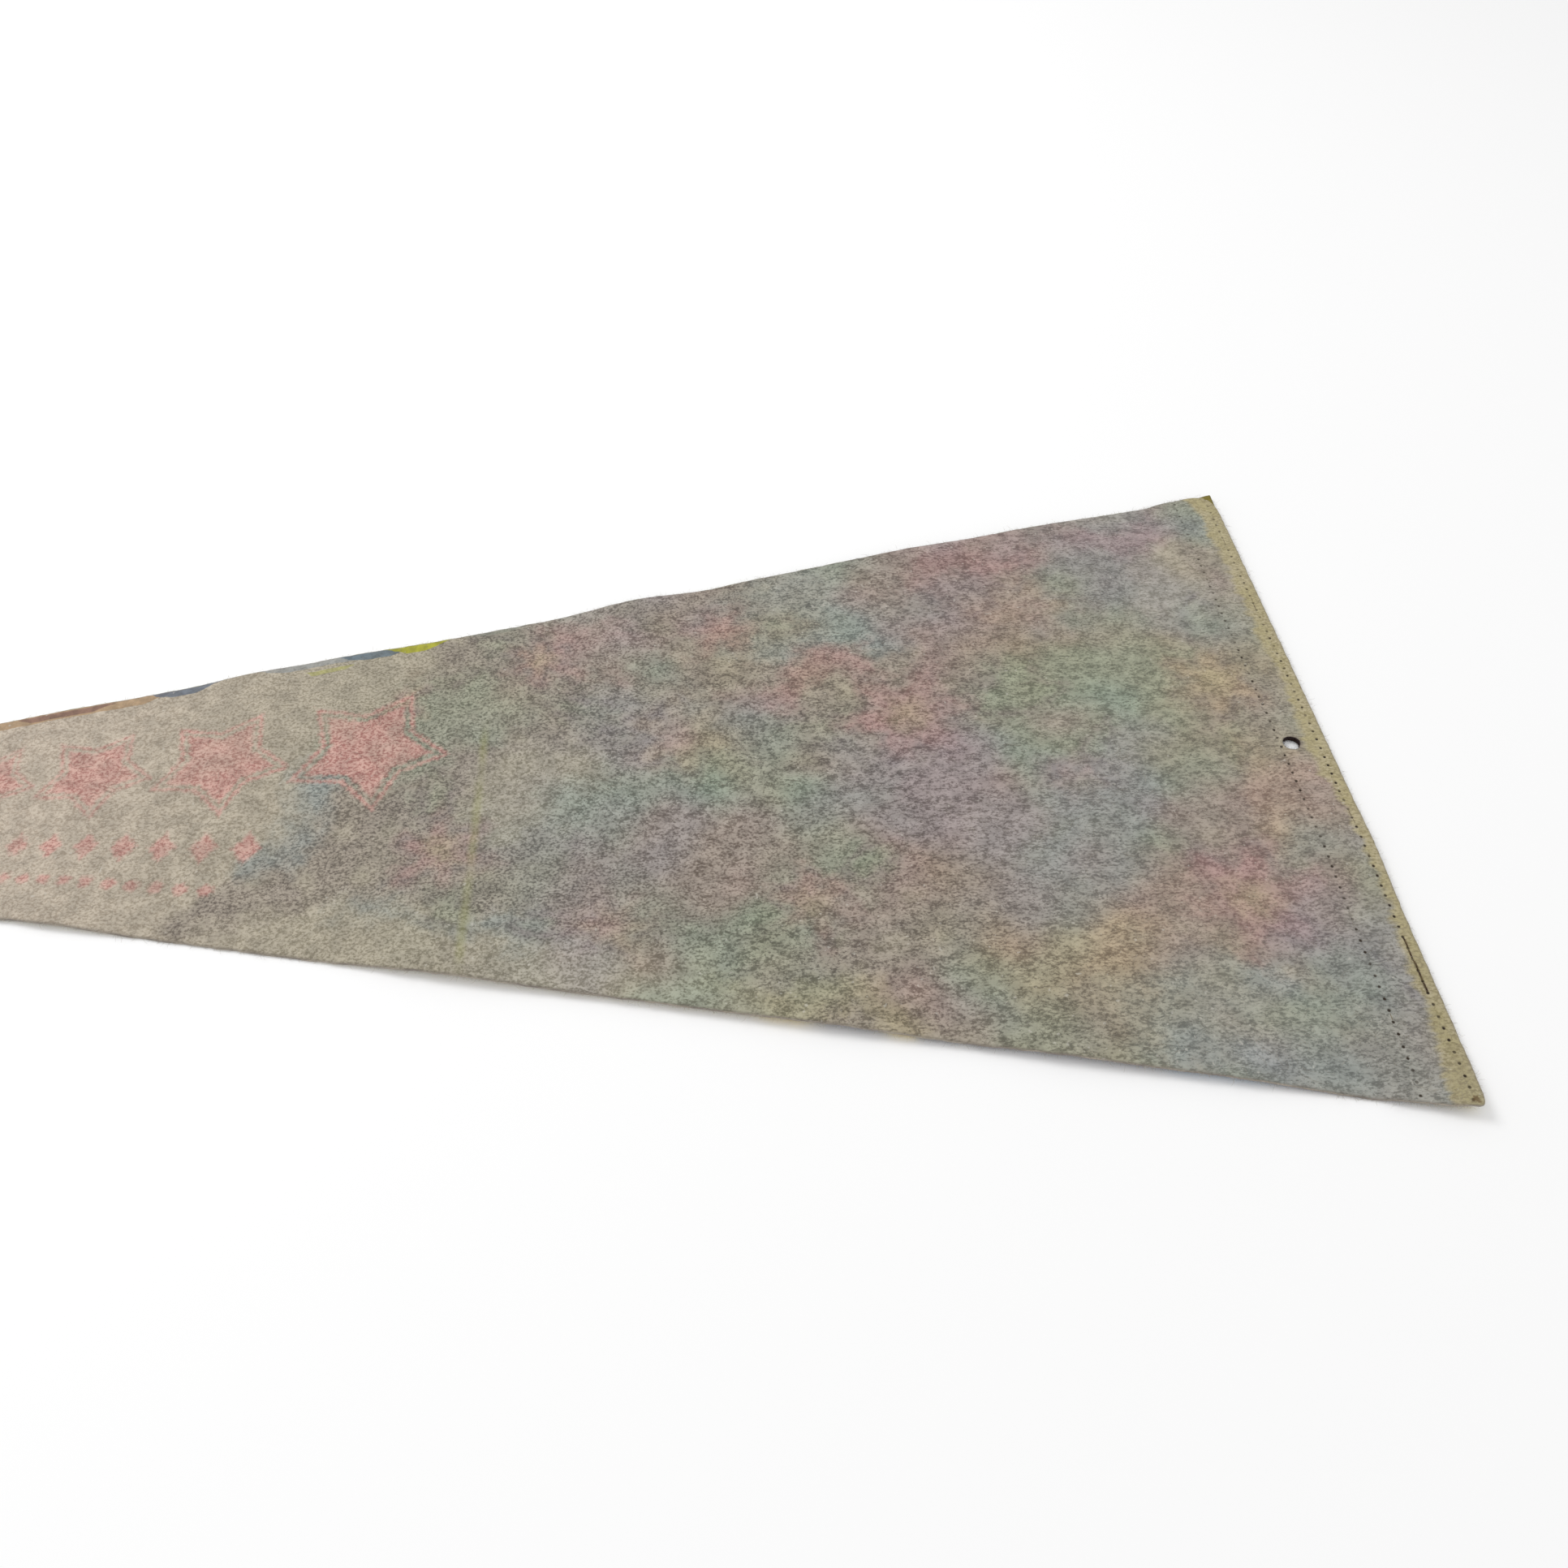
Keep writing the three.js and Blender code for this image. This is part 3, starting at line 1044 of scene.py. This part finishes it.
def drifting_tints(g, tinted, fibres, gaps):
    for place, (fibre_tint, gap_tint, share) in enumerate(DRIFTS):
        noise = g.noise(DRIFT_SIZE, 2.0, shift=DRIFT_SHIFT * place)
        drift = g.times(g.step(noise, 0.46, 0.64, 0.0, share), tinted)
        fibres = g.mix(drift, fibres, fibre_tint)
        gaps = g.mix(drift, gaps, gap_tint)
    return fibres, gaps


def back_material():
    """The back: ink that came through as soft, speckled ghosts."""
    g = Graph("felt_back")
    x = g.axis("X")
    grain = wool_grain(g, g.step(x, *STREAK_ENDS, *STREAKED))
    # Painted shade: the cream darkens towards the wide end
    cream_shade = g.step(x, *CREAM_SHADE_ENDS)
    fibres, gaps = (g.mix(cream_shade, *colours) for colours in zip(UNSHADED_CREAM, SHADED_CREAM))
    fibres, gaps = soaked_inks(g, fibres, gaps)
    tinted = g.step(x, *DRIFT_ENDS)
    fibres, gaps = drifting_tints(g, tinted, fibres, gaps)
    gaps = g.mix(g.step(x, *MATTED_ENDS, 0.0, MATTED), gaps, fibres)
    cover = g.times(g.less(g.noise(COVER_SIZE, 3.0, (0.7, 1.0, 1.0), 20.0), 0.5), COVER)
    colour = g.wool(g.add(grain, g.times(cover, tinted)), gaps, fibres)
    colour = g.tone(colour, g.step(g.noise(MOTTLE_SIZE), 0.3, 0.7, *MOTTLE))
    colour = cross_line(g, colour)
    colour = margin_colour(g, colour, grain)
    for mark in (edge_stains, painted_edge_shade, needle_holes, lint_flecks, corner_smudge):
        colour = mark(g, colour)
    return g.finish(colour, grain, BACK_RELIEF)


CROSS_LINE_X, CROSS_LINE_WIDTH = WIDE_X - 303.7, 3.4
CROSS_LINE_END, CROSS_LINE_FADE = 34.0, 4.0
CROSS_LINE_STRENGTH, CROSS_LINE_COLOUR = (0.05, 0.36), (150, 150, 90)


def cross_line(g, colour):
    """A faint olive line straight across the pennant, from its near edge to past its middle."""
    x, y = g.axis("X"), g.axis("Y")
    off = g.add(g.size_of(g.less(x, CROSS_LINE_X)), g.wander(1.0, 0.4))
    line = g.step(off, CROSS_LINE_WIDTH * 0.8, 0.0)
    line = g.times(line, g.step(y, CROSS_LINE_END, CROSS_LINE_END - CROSS_LINE_FADE))
    line = g.times(line, g.spread(g.noise(14.0, 1.0), *CROSS_LINE_STRENGTH))
    return g.mix(line, colour, CROSS_LINE_COLOUR)


MARGIN_RAGS = ((2.2, 2.2, 0.3), (7.0, 1.4, 0.5))  # size, reach, stretch along
MARGIN_SOFTNESS, MARGIN_BARE = 1.7, 0.93
MARGIN_FIBRES = ((184, 173, 141), (176, 165, 124))
MARGIN_GAPS = ((148, 137, 107), (142, 131, 94))
MARGIN_SHADE_ENDS, MARGIN_SHADE = (-146.0, -60.0), 0.88  # along y: painted shade, darker towards the near corner


def margin_colour(g, colour, grain):
    """The ragged bare margin along the wide edge, through which the strip's yellow shows."""
    reach = g.value("margin")
    for size, ragged, stretch in MARGIN_RAGS:
        reach = g.add(reach, g.wander(size, ragged, (stretch, 1.0, 1.0)))
    bare = g.step(reach, -MARGIN_SOFTNESS, MARGIN_SOFTNESS, 0.0, MARGIN_BARE)
    bare_colour = g.wool(grain, g.patches(7.0, *MARGIN_GAPS), g.patches(5.0, *MARGIN_FIBRES))
    # Painted shade: the margin darkens towards the near corner
    bare_colour = g.tone(bare_colour, g.step(g.axis("Y"), *MARGIN_SHADE_ENDS, MARGIN_SHADE, 1.0))
    return g.mix(bare, colour, bare_colour)


class Stain(NamedTuple):
    """Ink that ran round the far edge: its two ends along, how far in it lies, and its look."""
    start: float
    end: float
    inner: float
    outer: float
    colour: tuple
    strength: float


STAINS = (
    Stain(650, 420, 4.4, -1.0, (168, 140, 108), 0.85),
    Stain(640, 560, 2.8, 0.8, (122, 90, 80), 0.75),
    Stain(480, 438, 3.6, 0.8, (122, 90, 82), 0.75),
    Stain(433, 402, 3.6, -1.0, (96, 106, 120), 0.85),
    Stain(394, 346, 3.2, -1.0, (140, 146, 150), 0.60),
    Stain(364, 332, 4.2, -1.0, (92, 108, 118), 0.85),
    Stain(382, 348, 7.6, 5.4, (164, 162, 90), 0.60),
    Stain(347, 319, 4.3, -1.0, (164, 162, 48), 0.95),
    Stain(318, 288, 2.2, -1.0, (136, 140, 128), 0.45),
)
STAIN_TAPER = 12.0


def edge_stains(g, colour):
    """The stains lie in a narrow band along the far edge and taper at their ends."""
    far = g.add(g.value("far"), g.wander(4.0, 0.35))
    x = g.add(g.axis("X"), g.wander(3.0, 1.2))
    mottle = g.spread(g.noise(1.8), 0.80, 1.15)
    for stain in STAINS:
        low, high = WIDE_X - stain.start, WIDE_X - stain.end
        after = g.step(x, low, low + STAIN_TAPER)
        before = g.step(x, high, high - STAIN_TAPER)
        width = g.times(g.times(after, before), stain.inner)
        inside = g.step(g.less(width, far), -0.15, 0.35, 0.0, stain.strength)
        share = g.times(inside, g.step(far, stain.outer - 0.2, stain.outer + 0.2))
        colour = g.mix(share, colour, g.tone(stain.colour, mottle))
    return colour


# Painted shade along the cut edges: its colour and strength
EDGE_SHADE_COLOUR, EDGE_SHADE_STRENGTH = (124, 115, 106), 0.35
NEEDLE_COLOUR, NEEDLE_RIM = (46, 36, 24), (0.72, 0.38)
NEEDLE_FAINTEST, NEEDLE_FAINT_ENDS = 0.60, (130.0, 10.0)  # along y: fainter at the far corner
FLECK_COLOUR, FLECK_STRENGTH = (206, 202, 192), 0.35
SMUDGE_PLACE, SMUDGE_SIZE = (WIDE_X - 4.2, -142.9, 4.5), 1.6
SMUDGE_COLOUR, SMUDGE_STRENGTH = (96, 74, 46), 0.75


# Painted shade: a grey band along the rounded cut edges of the back
def painted_edge_shade(g, colour):
    off = g.add(g.value("edge"), g.wander(2.0, 0.2))
    return g.mix(g.step(off, *SHARP_STEP, 0.0, EDGE_SHADE_STRENGTH), colour, EDGE_SHADE_COLOUR)


def needle_holes(g, colour):
    """Dark needle holes, unevenly filled with wool."""
    uneven = g.step(g.noise(6.0, 1.0), 0.35, 0.60, NEEDLE_FAINTEST, 1.0)
    strength = g.times(uneven, g.step(g.axis("Y"), *NEEDLE_FAINT_ENDS, NEEDLE_FAINTEST, 1.0))
    hole = g.times(g.step(g.value("needle"), *NEEDLE_RIM), strength)
    return g.mix(hole, colour, NEEDLE_COLOUR)


def lint_flecks(g, colour):
    fleck = g.step(g.noise(0.9, 0.0, (1.0, 1.0, 0.2)), 0.80, 0.84, 0.0, FLECK_STRENGTH)
    return g.mix(fleck, colour, FLECK_COLOUR)


def corner_smudge(g, colour):
    off = g.add(g.distance(SMUDGE_PLACE), g.wander(0.9, 0.9))
    smudge = g.step(off, SMUDGE_SIZE, SMUDGE_SIZE * 0.4, 0.0, SMUDGE_STRENGTH)
    return g.mix(smudge, colour, SMUDGE_COLOUR)


# The other materials
FACE_WEAR = (0.55, 0.97)  # the ink's cover, most worn and least worn
CUT_EDGE_COLOURS = ((172, 162, 148), (138, 129, 121))
STRIP_COLOURS = ((192, 172, 70), (172, 152, 58))
# A stain colour, then painted shade for the strip's cut edge and for its far corner
STRIP_STAIN, STRIP_EDGE_SHADE, STRIP_CORNER_SHADE = (120, 96, 52), (112, 102, 62), (104, 94, 32)
CORNER, CORNER_SHADE_ENDS = (WIDE_X, WIDTH / 2, 1.0), (9.0, 5.0)  # its place, and mm from it
THREAD_COLOURS, THREAD_DULLED = ((60, 42, 28), (98, 82, 54)), (132, 120, 98)
FIBRE_COLOURS, LINT_COLOUR = ((176, 168, 152), (150, 142, 130)), (210, 206, 196)
# Painted shade for the hole: the colour and strength that darken its wall
HOLE_SHADE, HOLE_SHADE_STRENGTH = (44, 20, 24), 0.95
BACK_RELIEF, FACE_RELIEF, CUT_RELIEF, STRIP_RELIEF, THREAD_RELIEF = 0.20, 0.14, 0.22, 0.18, 0.05


def face_material():
    """The printed face: the inks in order, a little worn, with a dark line around the flowers."""
    g = Graph("felt_face")
    grain = wool_grain(g, 0.4)
    cover = g.step(g.noise(1.6, 4.0), 0.24, 0.38, *FACE_WEAR)
    ragged = g.wander(0.5, 0.12)
    colour = CREAM_FACE
    for name, ink in INKS.items():
        share = g.step(g.add(ink_reach(g, name), ragged), -0.15, 0.15)
        colour = g.mix(g.times(share, cover), colour, ink.face)
    colour = g.tone(colour, g.step(grain, 0.32, 0.64, 0.84, 1.06))
    return g.finish(colour, grain, FACE_RELIEF)


def painted_hole_shade(g, colour, start, end):
    """Painted shade in the hole: its wall goes dark maroon, fading out within about a millimetre of
    it.
    """
    wall = g.step(g.value("hole"), start, end, 0.0, HOLE_SHADE_STRENGTH)
    return g.mix(wall, colour, HOLE_SHADE)


def cut_edge_material():
    """The cut edges: open fibres, dulled by ink."""
    g = Graph("felt_cut_edge")
    grain = g.noise(0.35, 3.0, (1.0, 1.0, 1.6))
    colour = g.patches(5.0, *CUT_EDGE_COLOURS)
    colour = g.tone(colour, g.step(grain, 0.3, 0.65, 0.72, 1.15))
    # The cut faces darken at the hole with its painted shade
    colour = painted_hole_shade(g, edge_stains(g, colour), 1.2, 0.6)
    return g.finish(colour, grain, CUT_RELIEF)


def strip_material():
    """The header's plain yellow felt, with painted shade along its cut edge and at the far corner,
    where the felt's corner lies over it.
    """
    g = Graph("header_felt")
    grain = wool_grain(g, 0.3)
    colour = g.patches(9.0, *STRIP_COLOURS)
    colour = g.mix(g.step(g.noise(2.4), 0.62, 0.75, 0.0, 0.35), colour, STRIP_STAIN)
    # Painted shade along the strip's cut edge
    colour = g.mix(g.step(g.value("edge"), *SHARP_STEP, 0.0, 0.8), colour, STRIP_EDGE_SHADE)
    # Painted shade at the far corner, under the felt's corner, and then at the hole
    corner_shade = g.step(g.distance(CORNER), *CORNER_SHADE_ENDS, 0.0, 0.85)
    colour = painted_hole_shade(g, g.mix(corner_shade, colour, STRIP_CORNER_SHADE), 0.9, 0.3)
    colour = g.tone(colour, g.step(grain, 0.30, 0.62, 0.80, 1.10))
    return g.finish(colour, grain, STRIP_RELIEF)


def thread_material():
    """Brown twisted sewing thread, dulled by felt fibres where it is drawn in."""
    g = Graph("sewing_thread")
    twist = g.noise(0.3, 1.0, (1.0, 2.5, 2.5))
    colour = g.mix(g.step(g.noise(1.4), 0.40, 0.62), *THREAD_COLOURS)
    colour = g.mix(g.value("drawn_in"), colour, THREAD_DULLED)
    colour = g.tone(colour, g.spread(twist, 0.75, 1.2))
    return g.finish(colour, twist, THREAD_RELIEF)


def fibre_material():
    """Loose fibres, most of them cream, with pale lint, and those in the hole darkened with the
    hole's painted shade.
    """
    g = Graph("loose_fibre")
    colour = g.mix(g.step(g.noise(3.0), 0.4, 0.6), *FIBRE_COLOURS)
    colour = g.mix(g.value("lint"), colour, LINT_COLOUR)
    # Painted shade on the fibres in the hole
    colour = g.mix(g.value("dark"), colour, HOLE_SHADE)
    return g.finish(colour, g.noise(0.2), 0.01)


set_felt_values(*felt_points[:, :2].T)
set_strip_values(*strip_points[:, :2].T)
for make_material in (back_material, face_material, cut_edge_material):
    felt.data.materials.append(make_material())
felt.data.polygons.foreach_set("material_index", felt_sides.astype(np.int32))
strip.data.materials.append(strip_material())


# Fine tubes, for the sewing and the loose fibres

TUBE_NARROWING = 0.55


def tubes(name, paths, radius, sides):
    """One mesh of closed tubes that narrow at the ends.

    Paths is an array of paths by points by 3. The radius is one for all or one for each path.
    """
    count, steps, _ = paths.shape
    tangent = np.gradient(paths, axis=1)
    tangent /= np.maximum(np.linalg.norm(tangent, axis=2, keepdims=True), TINY)
    across = np.cross(tangent, [0.0, 0.0, 1.0])
    short = np.linalg.norm(across, axis=2, keepdims=True)
    across = np.where(short > 1e-3, across / np.maximum(short, TINY), [1.0, 0.0, 0.0])
    upward = np.cross(across, tangent)
    share = np.linspace(-1, 1, steps)
    width = np.reshape(radius, (-1, 1)) * (1 - TUBE_NARROWING * share**4)
    rings = []
    for angle in np.arange(sides) * 2 * math.pi / sides:
        aside = across * math.cos(angle) + upward * math.sin(angle)
        rings.append(paths + width[:, :, None] * aside)
    points = np.stack(rings, axis=2).reshape(-1, 3)
    corner = np.arange(count * steps * sides).reshape(count, steps, sides)
    faces = []
    for k in range(sides):
        n = (k + 1) % sides
        quads = np.stack(
            [corner[:, :-1, k], corner[:, :-1, n], corner[:, 1:, n], corner[:, 1:, k]], axis=-1
        )
        faces += quads.reshape(-1, 4).tolist()
    faces += corner[:, 0, ::-1].tolist()
    faces += corner[:, -1, :].tolist()
    return new_mesh(name, points, faces)


# Sewing: between the needle holes the thread is drawn into the felt, and lies on it in one place

class Lay(NamedTuple):
    """How a stitch lies: the height of its middle over the cloth, and its look."""
    height: float
    unevenness: float
    radius: float
    drawn_in: float


SUNK = Lay(-0.34, 0.07, 0.19, 0.6)
LYING = Lay(0.10, 0.16, 0.28, 0.0)
ON_STRIP = Lay(0.16, 0.0, 0.19, 0.1)  # over the strip's underside, in the groove
STITCH_STEPS, THREAD_SIDES = 9, 6
STITCH_BOW, STITCH_DIP = 0.14, 0.16  # mm sideways, and the share at each end that goes down


def stitch(a, b, surface, rise, inward, rng):
    """One stitch between two needle holes, its ends drawn inward to the middle of the cloth."""
    t = np.linspace(0, 1, STITCH_STEPS)
    x = a[0] + (b[0] - a[0]) * t + STITCH_BOW * rng.normal() * np.sin(np.pi * t)
    y = a[1] + (b[1] - a[1]) * t
    ends = 1 - smooth(np.minimum(t, 1 - t), 0.0, STITCH_DIP)
    return np.stack([x, y, surface(x, y) + rise + inward * ends], axis=1)


def sewing_thread():
    rng = np.random.default_rng(21)
    middle = (FELT_RISE + FELT) / 2
    paths, drawn_in, radius = [], [], []
    for name, places in needles.items():
        for a, b in zip(places, places[1:]):
            lies_on = name == "outer" and LOOSE_STITCHES[0] < a[1] < LOOSE_STITCHES[1]
            lay = LYING if lies_on else SUNK
            rise = lay.height + lay.unevenness * rng.uniform(-1, 1)
            paths.append(stitch(a, b, felt_back, rise, -middle, rng))
            paths.append(stitch(a, b, lift, ON_STRIP.height, middle - ON_STRIP.height, rng))
            drawn_in += [lay.drawn_in, ON_STRIP.drawn_in]
            radius += [lay.radius, ON_STRIP.radius]
    thread = tubes("sewing_thread", np.array(paths), np.array(radius), THREAD_SIDES)
    set_values(thread, drawn_in=np.repeat(drawn_in, STITCH_STEPS * THREAD_SIDES))
    thread.data.materials.append(thread_material())
    return thread


# Loose fibres

SURFACE_FIBRES, LINT, EDGE_FIBRES, HOLE_FIBRES = 3600, 60, 2600, 240
FIBRE_RADIUS, FIBRE_SIDES = 0.030, 3
SURFACE_STEPS, EDGE_STEPS = 5, 4  # points along a fibre
FIBRE_LENGTHS, LINT_LENGTHS, ARCHES = (2.0, 6.5), (0.8, 2.0), (0.02, 0.28)
SHORTEST_FIBRE, EDGE_FIBRE_LENGTH = 0.4, 0.42
ROOT = 0.35  # how deep in the cloth an edge fibre starts


def felt_places(rng, count):
    """Even random places on the felt, clear of the hole."""
    x = rng.uniform(-LENGTH / 2 + 8, WIDE_X - 4, 6 * count)
    y = rng.uniform(-WIDTH / 2, WIDTH / 2, 6 * count)
    inside = (np.abs(y) < half_width(x) - 2.5) & (np.hypot(x - HOLE_X, y) > HOLE_DIAMETER)
    return x[inside][:count], y[inside][:count]


def curved_paths(x, y, angle, bend, length, steps):
    """Plan paths that start at x, y and turn as they go."""
    t = np.linspace(0, 1, steps)
    turn = angle[:, None] + bend[:, None] * t[None, :]
    step = length[:, None] / (steps - 1)
    px = x[:, None] + np.cumsum(np.cos(turn) * step, axis=1)
    py = y[:, None] + np.cumsum(np.sin(turn) * step, axis=1)
    return px, py, t


def fibre_mesh(name, px, py, z, lint, dark):
    """Loose fibres along paths. Lint and dark are a number for each fibre, from 0 to 1; dark gives
    the hole's painted shade.
    """
    fibres = tubes(name, np.stack([px, py, z], axis=2), FIBRE_RADIUS, FIBRE_SIDES)
    points_each = px.shape[1] * FIBRE_SIDES
    set_values(fibres, lint=np.repeat(lint, points_each), dark=np.repeat(dark, points_each))
    fibres.data.materials.append(fibre_material())
    return fibres


def surface_fibres():
    rng = np.random.default_rng(31)
    count = SURFACE_FIBRES + LINT
    x, y = felt_places(rng, count)
    lint = np.arange(count) >= SURFACE_FIBRES
    angle = rng.normal(0, 0.6, count) + np.pi * rng.integers(0, 2, count)
    length = np.where(lint, rng.uniform(*LINT_LENGTHS, count), rng.uniform(*FIBRE_LENGTHS, count))
    bend = rng.normal(0, 1.1, count)
    px, py, t = curved_paths(x, y, angle, bend, length, SURFACE_STEPS)
    arch = np.sin(np.pi * t)[None, :] * rng.uniform(*ARCHES, count)[:, None]
    return fibre_mesh("surface_fibres", px, py, felt_back(px, py) + arch, lint, np.zeros(count))


def edge_places(rng, count):
    """Random places on the cut edges: x, y and the outward angle."""
    side = rng.uniform(0, 1, count)
    along = np.sqrt(rng.uniform(0.0004, 1, count)) * (TAPER - 4)
    long_x = POINT_X + along
    sign = np.where(side < 0.41, 1.0, -1.0)
    wide = side > 0.82
    wide_y = rng.uniform(-WIDTH / 2 + 5, WIDTH / 2 - 7, count)
    x = np.where(wide, wide_edge_x(wide_y), long_x)
    y = np.where(wide, wide_y, sign * half_width(long_x))
    angle = np.where(wide, 0.0, sign * (np.pi / 2 + TAPER_ANGLE))
    return x, y, angle


def hole_places(rng, count):
    """Random places on the hole's wall: x, y and the angle towards its middle."""
    angle = rng.uniform(0, 2 * np.pi, count)
    return HOLE_X - HOLE_RADIUS * np.cos(angle), -HOLE_RADIUS * np.sin(angle), angle


def edge_fibres():
    rng = np.random.default_rng(32)
    count = EDGE_FIBRES + HOLE_FIBRES
    sets = (edge_places(rng, EDGE_FIBRES), hole_places(rng, HOLE_FIBRES))
    x, y, outward = np.concatenate(sets, axis=1)
    in_hole = np.arange(count) >= EDGE_FIBRES
    angle = outward + rng.normal(0, 0.75, count)
    beyond = (rng.uniform(0, SHORTEST_FIBRE, count), rng.exponential(EDGE_FIBRE_LENGTH, count))
    length = SHORTEST_FIBRE + np.where(in_hole, *beyond)
    x, y = x - ROOT * np.cos(outward), y - ROOT * np.sin(outward)
    bend = rng.normal(0, 0.9, count)
    px, py, t = curved_paths(x, y, angle, bend, length + ROOT, EDGE_STEPS)
    height = rng.uniform(np.where(in_hole, -0.9, 0.15), 1.05)[:, None]
    droop = rng.normal(0, 0.25, count)[:, None]
    z = np.maximum(felt_underside(px, py) + height + t[None, :] * droop, 0.05)
    # The fibres in the hole are marked for the hole's painted shade
    return fibre_mesh("edge_fibres", px, py, z, np.full(count, 0.25), in_hole)


thread = sewing_thread()
loose_fibres = [surface_fibres(), edge_fibres()]


# Camera, floor and light

CAMERA_PLACE = (110.8, -305.85, 351.76)
CAMERA_AZIMUTH = 4.25
CAMERA_ELEVATION = 49.44
CAMERA_ROLL = 0.38
LENS = 29.98
FLOOR_REACH, FLOOR_WHITE = 6000.0, 0.97
WORLD_STRENGTH = 0.73


def add_camera():
    data = bpy.data.cameras.new("camera")
    data.lens = LENS
    data.clip_start = 0.01
    camera = new_object("camera", data)
    turn = (
        Matrix.Rotation(math.radians(-CAMERA_AZIMUTH), 4, "Z")
        @ Matrix.Rotation(math.radians(90 - CAMERA_ELEVATION), 4, "X")
        @ Matrix.Rotation(math.radians(CAMERA_ROLL), 4, "Z")
    )
    camera.matrix_world = Matrix.Translation([c * MM for c in CAMERA_PLACE]) @ turn
    bpy.context.scene.camera = camera


def add_area_light(name, place, energy, size):
    data = bpy.data.lights.new(name, "AREA")
    data.shape = "DISK"
    data.energy = energy
    data.size = size
    light = new_object(name, data)
    light.location = place
    light.rotation_euler = (-light.location).to_track_quat("-Z", "Y").to_euler()


def add_floor():
    corners = np.array([(-1, -1, 0), (1, -1, 0), (1, 1, 0), (-1, 1, 0)])
    floor = new_mesh("floor", corners * FLOOR_REACH, [(0, 1, 2, 3)])
    material = bpy.data.materials.new("floor_paint")
    material.use_nodes = True
    shader = material.node_tree.nodes["Principled BSDF"]
    shader.inputs["Base Color"].default_value = (FLOOR_WHITE, FLOOR_WHITE, FLOOR_WHITE, 1)
    shader.inputs["Roughness"].default_value = 0.9
    shader.inputs["Specular IOR Level"].default_value = 0.1
    floor.data.materials.append(material)


def add_world():
    world = bpy.data.worlds.new("studio")
    world.use_nodes = True
    background = world.node_tree.nodes["Background"]
    background.inputs["Color"].default_value = (1.0, 1.0, 1.0, 1)
    background.inputs["Strength"].default_value = WORLD_STRENGTH
    bpy.context.scene.world = world


add_camera()
add_floor()
add_world()
add_area_light("key_light", (-0.9, 0.9, 1.3), energy=14, size=0.9)
add_area_light("fill_light", (1.4, -0.6, 1.5), energy=3, size=1.4)
bpy.context.scene.view_settings.view_transform = "Standard"

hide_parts("felt_pennant")
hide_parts("header_strip")
for piece, slot in (
    (felt, "printed_felt"),
    (strip, "header_felt"),
    (thread, "thread"),
    (loose_fibres[0], "printed_felt"),
    (loose_fibres[1], "printed_felt"),
):
    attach(piece, "root")
